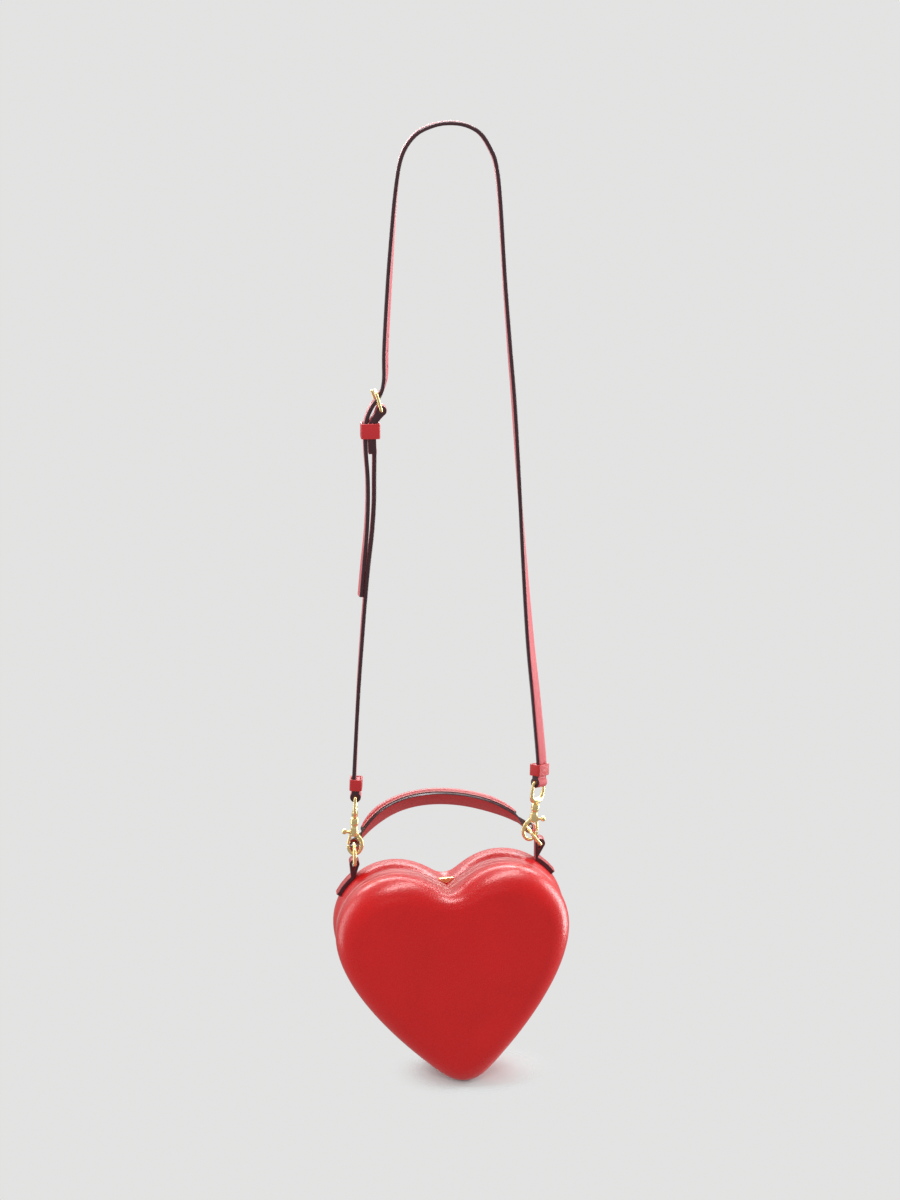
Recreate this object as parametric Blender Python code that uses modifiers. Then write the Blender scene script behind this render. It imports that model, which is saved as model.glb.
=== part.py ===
"""Heart-shaped top handle bag: two moulded leather halves hinged at the tip,
a padded top handle and a long adjustable shoulder strap with swivel hooks.

The model hangs from the top of its shoulder strap, which is the origin.
+X is the bag's right-hand side in front view, +Y its back, +Z up. Metres.
"""
import math

import bmesh
import bpy
from mathutils import Matrix, Vector

# General clearance between pieces that touch, and the overrun of every cutter
CLEARANCE = 0.0003
OVERRUN = 0.004

# Distance within which a curve's cap points are welded, and the steps of each bisection
WELD = 0.000002
BISECTIONS = 40

# Heart outline at the seams, from the hinge at the tip
HEART_WIDTH = 0.172
HEART_HEIGHT = 0.161
HALF_OUTLINE_SHARES = (
    ((0.0, 0.895), (0.14, 0.942), (0.29, 1.0), (0.47, 1.0)),
    ((0.47, 1.0), (0.76, 1.0), (1.0, 0.87), (1.0, 0.715)),
    ((1.0, 0.715), (1.0, 0.50), (0.60, 0.235), (0.20, 0.048)),
    ((0.20, 0.048), (0.13, 0.0153), (0.075, 0.0), (0.0, 0.0)),
)
HALF_OUTLINE_STEPS = (5, 6, 6, 3)
DOME_CENTRE_SHARE = 0.60

# Middle band: one leather-wrapped frame on each side of the parting plane
RIM_DEPTH = 0.00635
RIM_RAISE = 0.0010
RIM_WIDTH = 0.0062
RIM_ROUND = 0.0012
BOSS_WIDTH = 0.018
BOSS_DROP = 0.0085
BOSS_HEIGHT = 0.0055

# Moulded halves: leather cover, hard former and lining
COVER_WALL = 0.0012
FORMER_WALL = 0.0018
LINING_WALL = 0.0010
FRONT_WALL_DEPTH = 0.013
REAR_WALL_DEPTH = 0.0175
SHOULDER_INSET = 0.017
FRONT_SHOULDER_DEPTH = 0.017
REAR_SHOULDER_DEPTH = 0.0125
SHOULDER_ANGLES = (22, 46, 70)
DOME_RISE = 0.0035
FRONT_DOME_SHARES = (0.62, 0.28)
REAR_FLAT_SHARE = 0.50
SEAM_TUCK = 0.0004
SEAM_STRAIGHT = 0.0012
SIDE_BULGE = 0.0010
FRONT_TOP_BULGE = 0.0018
REAR_TOP_BULGE = 0.0016
CLEFT_EASE = 0.020

# Hinge at the tip
BARREL_RADIUS = 0.0015
BARREL_LENGTH = 0.0108
KNUCKLE_LENGTH = 0.0036
HINGE_PIN_RADIUS = 0.0006
LEAF_THICK = 0.0007
LEAF_HEIGHT = 0.0052
LEAF_WIDTH = 0.0090

# Clasp in the cleft: a lever on a cross pin behind the rear rim, and its strike
CLASP_WIDTH = 0.0106
CLASP_DEPTH = 0.0032
CLASP_Y = 0.0092
CLASP_TOP_THICK = 0.0012
CLASP_BAR_LIFT = 0.0042
CLASP_WEDGE_LIFT = 0.0012
STEM_WIDTH = 0.0026
STEM_THICK = 0.0020
STEM_Y = 0.0101
SLOT_WIDTH = 0.0036
SLOT_DEPTH = 0.0050
PIVOT_DROP = 0.0136
PIVOT_HUB_RADIUS = 0.0021
PIVOT_HUB_FROM_DEG = -121
PIVOT_HUB_TO_DEG = 61
PIVOT_PIN_RADIUS = 0.0006
ARM_THICK = 0.0018
ARM_REACH = 0.0159
BARB_THICK = 0.0010
BARB_RISE = 0.0007
EAR_THICK = 0.0010
EAR_INSIDE = 0.0033
BRACKET_THICK = 0.0010
BRACKET_WIDTH = 0.0110
BRACKET_TOP_DROP = 0.0064
BRACKET_BOTTOM_DROP = 0.0098
EAR_REACH = 0.0021
EAR_FOOT_DROP = 0.0155
EAR_FRONT = 0.0084
STRIKE_THICK = 0.0010
STRIKE_WIDTH = 0.0170
STRIKE_WINDOW_WIDTH = 0.0060
STRIKE_BAR_DROP = 0.0039
STRIKE_Y = -0.00335
STRIKE_DEPTH = 0.0023
LEAF_SPRING_THICK = 0.00025
LEAF_SPRING_WIDTH = 0.0024
LEAF_SPRING_LENGTH = 0.0045
LEAF_SPRING_BEND = 0.0005

# Ring tabs on the rear shoulders
TAB_Y = 0.020
TAB_WIDTH = 0.011
TAB_THICK = 0.0038
TAB_FOOT_SHARE = 0.8696
TAB_BEND_SHARE = 0.9404
TAB_STRIP_STEPS = 5
TAB_LOOP_OUTER = 0.0038
TAB_LOOP_INNER = 0.0019
TAB_LOOP_GAP = 0.0052
TAB_LOOP_OPEN_DEG = 115
TAB_HOLE_OPEN_DEG = 120

# D-rings: each one's straight bar, to the side by a share of the heart's half width and
# above the heart's top
RING_SIDE_LEFT_SHARE = -0.7872
RING_SIDE_RIGHT_SHARE = 0.8605
RING_RISE_LEFT = 0.0048
RING_RISE_RIGHT = 0.0057
RING_RADIUS = 0.0090
RING_WIRE = 0.0014
RING_LEG = 0.0051
RING_CORNER = 0.0022
RING_LEAN_LEFT_DEG = 4.75
RING_LEAN_RIGHT_DEG = -34

# Top handle
HANDLE_TILT_DEG = 40
HANDLE_RISE = 0.0400
HANDLE_WIDTH = 0.019
HANDLE_END_WIDTH = 0.0090
HANDLE_TAPER_FROM_SHARE = 0.50
HANDLE_THICK = 0.0018
HANDLE_STEPS = 26
HANDLE_FLANGE_THICK = 0.0012
HANDLE_DOME = 0.0042
HANDLE_CORE_SHARE = 0.54
HANDLE_CORE_HEIGHT = 0.0028
HANDLE_LOOP_OUTER = 0.0043
HANDLE_LOOP_INNER = 0.0030
HANDLE_LOOP_SINK = 0.0005
HANDLE_SKEW = 0.0076
HANDLE_PAD_END_SHARE = 0.81
HANDLE_CORE_END_SHARE = 0.70
HANDLE_LOOP_OPEN_DEG = 140
SHEAR_FROM_SHARE = 0.855
SHEAR_TO_SHARE = 0.935
END_HEIGHT_SHARE = 0.35
CORE_EASE_FROM_SHARE = 0.55
TOP_EASE_FROM_SHARE = 0.60
CORE_ROOM_SHARE = 0.05
COVER_SHOULDER_SHARE = 0.16

# Swivel hooks, measured up the hook from the middle of the wire at its bottom
HOOK_WIRE = 0.00125
HOOK_SHANK = 0.0016
HOOK_NOSE = 0.0011
HOOK_HALF_WIDTH = 0.0052
HOOK_HALF_HEIGHT = 0.0072
HOOK_FROM_DEG = -150
HOOK_TO_DEG = 86
HOOK_POINTS = 13
HOOK_BODY_SIDE = 0.0012
HOOK_ROOT_SHARES = ((-0.077, 1.255), (-0.173, 1.090))
HOOK_BODY_FROM = 0.0145
HOOK_BODY_RADIUS = 0.0028
HOOK_WAIST_RADIUS = 0.0024
HOOK_WAIST_FROM = 0.0216
HOOK_COLLAR_RADIUS = 0.0030
HOOK_COLLAR_FROM = 0.0236
HOOK_COLLAR_TOP = 0.0286
HOOK_CHAMFER = 0.0006
HOOK_SIDES = 16
HOOK_PLACE_LEFT = (0.0, -0.0050, 0.0028)
HOOK_PLACE_RIGHT = (-0.0056, -0.0050, -0.0008)
HOOK_LEAN_LEFT_DEG = 3
HOOK_LEAN_RIGHT_DEG = 8
POST_RADIUS = 0.0012
POST_HEAD_RADIUS = 0.0018
POST_HEAD_THICK = 0.0010
POST_REACH = 0.0038
EYE_WIRE = 0.0011
EYE_HALF_WIDTH = 0.0066
EYE_CORNER = 0.0015
EYE_HUB_RADIUS = 0.0019
EYE_BASE_WIRE = 0.0024
EYE_BAR_RISE = 0.0170
EYE_SIDE_SHARES = ((0.318, 0.0, 1.0), (0.712, 0.059, 0.833), (0.939, 0.200, 0.625), (1.0, 0.4235, 0.5))
EYE_TURN_LEFT_DEG = 84
EYE_TURN_RIGHT_DEG = 45
GATE_WIRE = 0.0011
GATE_PIVOT_SIDE = 0.0034
GATE_PIVOT_HEIGHT = 0.0168
GATE_TIP_HEIGHT = 0.0079
GATE_HUB_RADIUS = 0.0018
GATE_HUB_WIDTH = 0.0025
GATE_PIN_RADIUS = 0.0006
GATE_SLOT_SIDE = 0.0013
GATE_SLOT_TOP = 0.0213
KNOB_SIDE = 0.0085
KNOB_HEIGHT = 0.0176
KNOB_RADIUS = 0.0022
KNOB_STEM = 0.0010
GATE_SPRING_WIRE = 0.0003
GATE_SPRING_SHARES = ((0.101, 1.149), (0.095, 1.202), (0.137, 1.238), (0.196, 1.226), (0.220, 1.149))

# Shoulder strap
STRAP_WIDTH = 0.010
STRAP_THICK = 0.0030
STRAP_EDGE = 0.0006
STRAP_DROP = 0.4945
STRAP_HALF_SPREAD = 0.0700
STRAP_STEP = 0.012
FOLD_THICK = 0.0060
FOLD_LENGTH = 0.0135
FOLD_OVERLAP = 0.0030
RIGHT_FOLD_LEAN_DEG = -3.5
LEFT_FOLD_LEAN_DEG = 2
TAIL_TURN_DEG = 6
FOLD_WIDTH = 0.0102
FOLD_LOOP_OUTER = 0.0041
FOLD_LOOP_INNER = 0.0015
KEEPER_WALL = 0.0014
KEEPER_HEIGHT = 0.0088
KEEPER_RISE = 0.0096
RIGHT_ROUTE_SHARES = (
    (0.0, 0.0), (0.176, -0.003), (0.330, -0.015), (0.434, -0.037), (0.497, -0.061),
    (0.540, -0.112), (0.594, -0.230), (0.650, -0.334), (0.694, -0.409), (0.751, -0.530),
    (0.809, -0.652), (0.877, -0.776), (0.946, -0.870),
)
LEFT_ROUTE_SHARES = (
    (-0.164, -0.004), (-0.340, -0.017), (-0.474, -0.046), (-0.539, -0.096),
    (-0.591, -0.184), (-0.626, -0.258), (-0.655, -0.332),
)

# Buckle, its places measured from the middle of its heel bar as seen from the front
BUCKLE_PLACE_SHARES = (-0.704, -0.421)
BUCKLE_WIRE = 0.0012
BUCKLE_LENGTH = 0.0143
BUCKLE_WIDTH = 0.0150
BUCKLE_CORNER = 0.0018
BUCKLE_LEAN_DEG = -16
HEEL_LOOP_OUTER = 0.0040
HEEL_LOOP_INNER = 0.0015
HEEL_SLOT_WIDTH = 0.0032
PRONG_WIRE = 0.0009
PRONG_HUB_RADIUS = 0.0025
PRONG_HUB_WIDTH = 0.0024
PRONG_BEND = (-0.0046, 0.0082)
PRONG_TIP = (-0.0070, 0.0150)
PRONG_HOLE_PLACE = (-0.0038, 0.0068)
PRONG_HOLE_SLOPE_DEG = 37
PRONG_HOLE_LENGTH = 0.0064
PRONG_HOLE_WIDTH = 0.0032
BUCKLE_KEEPER_HEIGHT = 0.0114
BUCKLE_KEEPER_DROP = 0.0150
BUCKLE_KEEPER_SPAN = (-0.0137, -0.0023)
THROUGH_ROUTE_SHARES = (
    (-0.825, -1.329), (-0.797, -0.699), (-0.65, -0.175), (-0.434, 0.252), (-0.168, 0.601),
    (0.014, 0.909), (0.14, 1.259), (0.224, 1.818))
TAIL_ROUTE_SHARES = (
    (-1.112, -0.2819), (-0.958, -0.2326), (-0.797, -0.186), (-0.713, -0.1416), (-0.713, -0.1011),
    (-0.797, -0.0647))
SHORT_START_SHARES = ((-0.343, -1.993), (-0.357, -2.517))
SHORT_ROUTE_SHARES = (
    (-0.371, -0.1011), (-0.392, -0.1416), (-0.503, -0.186), (-0.692, -0.2326),
    (-0.86, -0.2819), (-1.063, -0.3539), (-1.259, -0.4348))
HEEL_FOLD_SHARES = (
    (-0.448, -2.238), (-0.476, -1.538), (-0.479, -0.874), (-0.392, -0.587), (-0.189, -0.294))
HEEL_FOLD_THICK = 0.0059

# The bag hangs below the strap: its tip's place to the side and forward, the room that the
# hooks take between the strap and the heart's top, and the lean it hangs at
BAG_TIP_SIDE = 0.0103
BAG_TIP_FORWARD = 0.0150
BAG_HANG = 0.0597
BAG_LEAN_DEG = -4.75
BAG_TIP = Vector((BAG_TIP_SIDE, -BAG_TIP_FORWARD, -STRAP_DROP - BAG_HANG - HEART_HEIGHT))
RING_BAR_LEFT = (RING_SIDE_LEFT_SHARE * HEART_WIDTH / 2, HEART_HEIGHT + RING_RISE_LEFT)
RING_BAR_RIGHT = (RING_SIDE_RIGHT_SHARE * HEART_WIDTH / 2, HEART_HEIGHT + RING_RISE_RIGHT)


def clear_scene():
    for old in list(bpy.data.objects):
        bpy.data.objects.remove(old, do_unlink=True)


def new_collection(name):
    collection = bpy.data.collections.new(name)
    bpy.context.scene.collection.children.link(collection)
    return collection


clear_scene()
PARTS = new_collection("top_handle_bag")
CUTTERS = new_collection("cutters")


def material(name, colour, roughness, metallic=0.0):
    made = bpy.data.materials.new(name)
    made.use_nodes = True
    shader = made.node_tree.nodes["Principled BSDF"]
    shader.inputs["Base Color"].default_value = (*colour, 1.0)
    shader.inputs["Roughness"].default_value = roughness
    shader.inputs["Metallic"].default_value = metallic
    return made


RED_LEATHER = material("red_leather", (0.47, 0.013, 0.014), 0.38)
STRAP_LEATHER = material("strap_leather", (0.52, 0.045, 0.055), 0.45)
LINING_SUEDE = material("lining_suede", (0.36, 0.06, 0.06), 0.9)
FORMER_BOARD = material("former_board", (0.55, 0.50, 0.42), 0.8)
PADDING = material("padding", (0.80, 0.78, 0.72), 0.9)
GOLD = material("polished_gold", (0.83, 0.60, 0.28), 0.2, 1.0)
SPRING_STEEL = material("spring_steel", (0.60, 0.60, 0.60), 0.3, 1.0)


JOINTS = set()


def empty(name, matrix, parent=None):
    holder = bpy.data.objects.new(name, None)
    PARTS.objects.link(holder)
    holder.parent = parent
    holder.matrix_basis = matrix
    return holder


def joint(name, place, space):
    """An empty on a joint's axis, standing in the coordinates of space."""
    JOINTS.add(name)
    return empty(name, Matrix.Translation(place), space)


def carry(made, frame):
    """Hangs an object on an empty. On a joint the mesh keeps the coordinates of its space."""
    made.parent = frame
    if frame.name in JOINTS:
        made.matrix_parent_inverse = frame.matrix_basis.inverted()


def part(name, mesh, finish, frame, smooth_deg=40):
    made = bpy.data.objects.new(name, mesh)
    PARTS.objects.link(made)
    carry(made, frame)
    mesh.materials.clear()
    mesh.materials.append(finish)
    mesh.shade_smooth()
    mesh.set_sharp_from_angle(angle=math.radians(smooth_deg))
    return made


def helper(name, mesh, frame):
    """A cutter or a solid that is joined to a part by a Boolean."""
    made = bpy.data.objects.new(name, mesh)
    CUTTERS.objects.link(made)
    carry(made, frame)
    made.hide_render = True
    made.display_type = "WIRE"
    return made


def boolean(target, operation, operand):
    step = target.modifiers.new(operation.lower(), "BOOLEAN")
    step.operation = operation
    step.solver = "EXACT"
    step.object = operand
    return step


def mesh_from(build, name, matrix=None):
    """Runs build on a bmesh and returns the mesh, placed by matrix."""
    shape = bmesh.new()
    build(shape)
    bmesh.ops.recalc_face_normals(shape, faces=shape.faces)
    if matrix is not None:
        shape.transform(matrix)
    mesh = bpy.data.meshes.new(name)
    shape.to_mesh(mesh)
    shape.free()
    return mesh


def box(name, low, high):
    """A box between two corners."""
    size = Vector(high) - Vector(low)
    middle = (Vector(high) + Vector(low)) * 0.5
    place = Matrix.Translation(middle) @ Matrix.Diagonal((*size, 1.0))
    return mesh_from(lambda shape: bmesh.ops.create_cube(shape, size=1.0), name, place)


AXIS_TURNS = {
    "X": Matrix.Rotation(math.radians(90), 4, "Y"),
    "Y": Matrix.Rotation(math.radians(-90), 4, "X"),
    "Z": Matrix.Identity(4),
}


def rod(name, axis, centre, length, radius, sides=12):
    """A cylinder along an axis, about its centre."""

    def build(shape):
        bmesh.ops.create_cone(
            shape, cap_ends=True, segments=sides, radius1=radius, radius2=radius, depth=length)

    return mesh_from(build, name, Matrix.Translation(centre) @ AXIS_TURNS[axis])


def ball(name, centre, radius, across=10, around=6):
    def build(shape):
        bmesh.ops.create_uvsphere(shape, u_segments=across, v_segments=around, radius=radius)

    return mesh_from(build, name, Matrix.Translation(centre))


def curve_to_mesh(curve, name, matrix=None):
    """The mesh of a curve with its caps welded on."""
    carrier = bpy.data.objects.new(name + "_curve", curve)
    CUTTERS.objects.link(carrier)
    bpy.context.view_layer.update()
    evaluated = carrier.evaluated_get(bpy.context.evaluated_depsgraph_get())
    mesh = bpy.data.meshes.new_from_object(evaluated)
    bpy.data.objects.remove(carrier, do_unlink=True)
    shape = bmesh.new()
    shape.from_mesh(mesh)
    bmesh.ops.remove_doubles(shape, verts=shape.verts, dist=WELD)
    bmesh.ops.recalc_face_normals(shape, faces=shape.faces)
    if matrix is not None:
        shape.transform(matrix)
    shape.to_mesh(mesh)
    shape.free()
    mesh.name = name
    return mesh



def tube(name, points, radius, closed=False, radii=None, resolution=2, matrix=None):
    """A round wire along points, with its own radius at each point where given."""
    curve = bpy.data.curves.new(name, "CURVE")
    curve.dimensions = "3D"
    curve.bevel_depth = radius
    curve.bevel_resolution = resolution
    curve.use_fill_caps = not closed
    spline = curve.splines.new("POLY")
    spline.points.add(len(points) - 1)
    spline.use_cyclic_u = closed
    for i, place in enumerate(points):
        spline.points[i].co = (*place, 1.0)
        spline.points[i].radius = 1.0 if radii is None else radii[i] / radius
    return curve_to_mesh(curve, name, matrix)


def plate(name, loops, thickness, rounding=0.0, matrix=None):
    """A flat outline, its first loop the outer one and the others holes, made thick."""
    curve = bpy.data.curves.new(name, "CURVE")
    curve.dimensions = "2D"
    curve.fill_mode = "BOTH"
    curve.extrude = thickness / 2 - rounding
    curve.bevel_depth = rounding
    curve.bevel_resolution = 1
    for loop in loops:
        spline = curve.splines.new("POLY")
        spline.points.add(len(loop) - 1)
        spline.use_cyclic_u = True
        for i, (x, y) in enumerate(loop):
            spline.points[i].co = (x, y, 0.0, 1.0)
    return curve_to_mesh(curve, name, matrix)


def circle(radius, sides, centre=(0.0, 0.0)):
    return [
        (centre[0] + radius * math.cos(math.tau * i / sides),
         centre[1] + radius * math.sin(math.tau * i / sides))
        for i in range(sides)
    ]


def loft(name, rings, caps=True, closed=True):
    """Skins rings of points, each ring with the same count."""

    def build(shape):
        rows = [[shape.verts.new(point) for point in ring] for ring in rings]
        count = len(rings[0])
        last = count if closed else count - 1
        for lower, upper in zip(rows, rows[1:]):
            for i in range(last):
                j = (i + 1) % count
                shape.faces.new((lower[i], lower[j], upper[j], upper[i]))
        if caps:
            shape.faces.new(rows[0])
            shape.faces.new(rows[-1])

    return mesh_from(build, name)


# The sheet that flat outlines are drawn on stands upright: its x is X, its y is Z, and it
# is thick along Y
UPRIGHT = Matrix.Rotation(math.radians(90), 4, "X")

# The other such sheet has its x along Y and its y along Z, and is thick along X
SIDEWAYS = Matrix(((0.0, 0.0, 1.0, 0.0), (1.0, 0.0, 0.0, 0.0),
                   (0.0, 1.0, 0.0, 0.0), (0.0, 0.0, 0.0, 1.0)))


# Heart outline

def bezier(points, t):
    a, b, c, d = points
    u = 1.0 - t
    return tuple(
        a[k] * u ** 3 + 3 * b[k] * u * u * t + 3 * c[k] * u * t * t + d[k] * t ** 3
        for k in range(2)
    )


def on_heart(share):
    return Vector((share[0] * HEART_WIDTH / 2, share[1] * HEART_HEIGHT))


def heart_outline():
    """Points from the cleft round the right lobe to the tip and back up the left side."""
    right = []
    for segment, steps in zip(HALF_OUTLINE_SHARES, HALF_OUTLINE_STEPS):
        right += [on_heart(bezier(segment, i / steps)) for i in range(steps)]
    tip = on_heart(HALF_OUTLINE_SHARES[-1][-1])
    left = [Vector((-point.x, point.y)) for point in reversed(right[1:])]
    return right + [tip] + left


def corner_normals(points):
    """Outward direction at each corner, long enough to keep every side's distance."""
    normals = []
    for i, point in enumerate(points):
        before = (point - points[i - 1]).normalized()
        after = (points[(i + 1) % len(points)] - point).normalized()
        first = Vector((-before.y, before.x))
        second = Vector((-after.y, after.x))
        normals.append((first + second) / (1.0 + first.dot(second)))
    return normals


OUTLINE = heart_outline()
NORMALS = corner_normals(OUTLINE)
DOME_CENTRE = Vector((0.0, DOME_CENTRE_SHARE * HEART_HEIGHT))


def grown(distance):
    """The heart outline moved outward by one distance."""
    return [point + normal * distance for point, normal in zip(OUTLINE, NORMALS)]


def bulge(point, normal, top):
    """How far a half swells over its seam: least at the sides, none in the cleft."""
    swell = SIDE_BULGE + (top - SIDE_BULGE) * max(0.0, normal.y)
    if point.y > CLEFT_Z - CLEFT_EASE:
        swell *= min(1.0, abs(point.x) / CLEFT_EASE)
    return swell


CLEFT_Z = OUTLINE[0].y
BOSS_BOTTOM = CLEFT_Z - BOSS_DROP
SEAM_Y = RIM_DEPTH + CLEARANCE * 1.5


def half_rings(layer, side):
    """Rings of one moulded surface, layer deep under the outer one, from the seam inward."""
    rear = side > 0
    top = REAR_TOP_BULGE if rear else FRONT_TOP_BULGE
    wall = REAR_WALL_DEPTH if rear else FRONT_WALL_DEPTH
    shoulder = (REAR_SHOULDER_DEPTH if rear else FRONT_SHOULDER_DEPTH) - layer
    inset_room = SHOULDER_INSET - layer
    rings = []
    for depth, swell in ((0.0, 0.0), (SEAM_STRAIGHT, 0.0), (wall / 2, 1.0), (wall, 1.0)):
        ring = []
        for point, normal in zip(OUTLINE, NORMALS):
            out = swell * bulge(point, normal, top) - SEAM_TUCK * (1.0 - swell) - layer
            ring.append((point + normal * out, depth))
        rings.append(ring)
    for angle in SHOULDER_ANGLES:
        turn = math.radians(angle)
        ring = []
        for point, normal in zip(OUTLINE, NORMALS):
            out = bulge(point, normal, top) - layer - inset_room * (1.0 - math.cos(turn))
            ring.append((point + normal * out, wall + shoulder * math.sin(turn)))
        rings.append(ring)
    edge = rings[-1]
    crown = edge[0][1] + DOME_RISE
    for share in (REAR_FLAT_SHARE,) if rear else FRONT_DOME_SHARES:
        depth = crown if rear else crown - DOME_RISE * share * share
        rings.append([(DOME_CENTRE + (point - DOME_CENTRE) * share, depth) for point, _ in edge])
    return rings, crown


def moulded_half(name, layer, wall, side, finish, frame):
    """An open moulded surface given its wall by Solidify. side is -1 front, +1 rear."""
    rings, crown = half_rings(layer, side)

    def build(shape):
        rows = [
            [shape.verts.new((point.x, side * (SEAM_Y + depth), point.y)) for point, depth in ring]
            for ring in rings
        ]
        centre = shape.verts.new((DOME_CENTRE.x, side * (SEAM_Y + crown), DOME_CENTRE.y))
        count = len(OUTLINE)
        for lower, upper in zip(rows, rows[1:]):
            for i in range(count):
                j = (i + 1) % count
                shape.faces.new((lower[i], lower[j], upper[j], upper[i]))
        for i in range(count):
            shape.faces.new((rows[-1][i], rows[-1][(i + 1) % count], centre))

    mesh = mesh_from(build, name)
    crown_face = max(mesh.polygons, key=lambda face: side * face.center.y)
    if crown_face.normal.y * side < 0:
        mesh.flip_normals()
    made = part(name, mesh, finish, frame)
    shell = made.modifiers.new("wall", "SOLIDIFY")
    shell.thickness = wall
    shell.offset = -1.0
    shell.use_even_offset = True
    return made


def rim(name, side, frame):
    """A wrapped frame with a flat lock boss under the cleft."""
    outer = [tuple(point) for point in grown(RIM_RAISE - RIM_ROUND)]
    inner = [tuple(point) for point in grown(RIM_ROUND - RIM_WIDTH)]
    middle_y = side * (CLEARANCE / 2 + RIM_DEPTH / 2)
    place = Matrix.Translation((0.0, middle_y, 0.0)) @ UPRIGHT
    made = part(name, plate(name, (outer, inner), RIM_DEPTH, RIM_ROUND, place), RED_LEATHER, frame)
    low_y, high_y = sorted((side * CLEARANCE / 2, side * (CLEARANCE / 2 + RIM_DEPTH)))
    bottom = CLEFT_Z - BOSS_DROP
    boss = box(name + "_boss", (-BOSS_WIDTH / 2, low_y, bottom),
               (BOSS_WIDTH / 2, high_y, bottom + BOSS_HEIGHT))
    boolean(made, "UNION", helper(name + "_boss", boss, frame))
    return made


def cut(target, name, mesh, frame):
    boolean(target, "DIFFERENCE", helper(name, mesh, frame))


def join(target, name, mesh, frame):
    boolean(target, "UNION", helper(name, mesh, frame))


def band(points, thickness):
    """The outline of a strip of one thickness along 2D points."""
    left, right = [], []
    last = len(points) - 1
    for i, point in enumerate(points):
        before = (Vector(points[i]) - Vector(points[max(i - 1, 0)]))
        after = (Vector(points[min(i + 1, last)]) - Vector(points[i]))
        before = (before if before.length else after).normalized()
        after = (after if after.length else before).normalized()
        first = Vector((-before.y, before.x))
        second = Vector((-after.y, after.x))
        across = (first + second) / (1.0 + first.dot(second)) * (thickness / 2)
        left.append(tuple(Vector(point) + across))
        right.append(tuple(Vector(point) - across))
    return left + right[::-1]


def arc(centre, radius, start_deg, end_deg, steps):
    points = []
    for i in range(steps + 1):
        turn = math.radians(start_deg + (end_deg - start_deg) * i / steps)
        points.append((centre[0] + radius * math.cos(turn), centre[1] + radius * math.sin(turn)))
    return points


def upright(y):
    """Places a sheet drawn in x and z at depth y."""
    return Matrix.Translation((0.0, y, 0.0)) @ UPRIGHT


# Places of the frames and joints

BAG = empty("bag_frame", Matrix.Translation(BAG_TIP)
            @ Matrix.Rotation(math.radians(BAG_LEAN_DEG), 4, "Y"))
STRAP = empty("strap_frame", Matrix.Identity(4))
HINGE_Z = -RIM_RAISE
LID = joint("lid_axis", (0.0, 0.0, HINGE_Z), BAG)
PIVOT_Z = CLEFT_Z - PIVOT_DROP
LATCH = joint("latch_axis", (0.0, STEM_Y, PIVOT_Z), BAG)


# Rims, hinge and moulded halves

HINGE_ROOM = BARREL_RADIUS + CLEARANCE
LEAF_TOP = LEAF_HEIGHT + HINGE_Z


def hinged_rim(name, side, frame):
    made = rim(name, side, frame)
    notch = rod(name + "_notch", "X", (0.0, 0.0, HINGE_Z), BARREL_LENGTH + CLEARANCE * 2,
                HINGE_ROOM, 16)
    cut(made, name + "_notch", notch, frame)
    low_y, high_y = sorted((-side * OVERRUN, side * (CLEARANCE * 1.5 + LEAF_THICK)))
    half = LEAF_WIDTH / 2 + CLEARANCE
    recess = box(name + "_recess", (-half, low_y, HINGE_Z - OVERRUN),
                 (half, high_y, LEAF_TOP + CLEARANCE))
    cut(made, name + "_recess", recess, frame)
    return made


def hinge_leaf(name, side, knuckles, rivals, frame):
    """A leaf let into a rim's parting face, with its own knuckles on the barrel line."""
    low_y, high_y = sorted((side * CLEARANCE / 2, side * (CLEARANCE / 2 + LEAF_THICK)))
    half = LEAF_WIDTH / 2
    made = part(name, box(name, (-half, low_y, HINGE_Z), (half, high_y, LEAF_TOP)), GOLD, frame)
    length = KNUCKLE_LENGTH - CLEARANCE * 1.5
    for i, x in enumerate(rivals):
        room = rod(name + f"_room_{i}", "X", (x, 0.0, HINGE_Z), KNUCKLE_LENGTH + CLEARANCE,
                   HINGE_ROOM, 16)
        cut(made, name + f"_room_{i}", room, frame)
    for i, x in enumerate(knuckles):
        knuckle = rod(name + f"_knuckle_{i}", "X", (x, 0.0, HINGE_Z), length, BARREL_RADIUS, 16)
        join(made, name + f"_knuckle_{i}", knuckle, frame)
    bore = rod(name + "_bore", "X", (0.0, 0.0, HINGE_Z), BARREL_LENGTH + OVERRUN,
               HINGE_PIN_RADIUS + CLEARANCE, 12)
    cut(made, name + "_bore", bore, frame)
    return made


hinged_rim("rear_rim", 1, BAG)
hinged_rim("front_rim", -1, LID)
hinge_leaf("hinge_leaf_rear", 1, (-KNUCKLE_LENGTH, KNUCKLE_LENGTH), (0.0,), BAG)
hinge_leaf("hinge_leaf_front", -1, (0.0,), (-KNUCKLE_LENGTH, KNUCKLE_LENGTH), LID)
part("hinge_pin", rod("hinge_pin", "X", (0.0, 0.0, HINGE_Z), BARREL_LENGTH, HINGE_PIN_RADIUS),
     GOLD, BAG)

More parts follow.
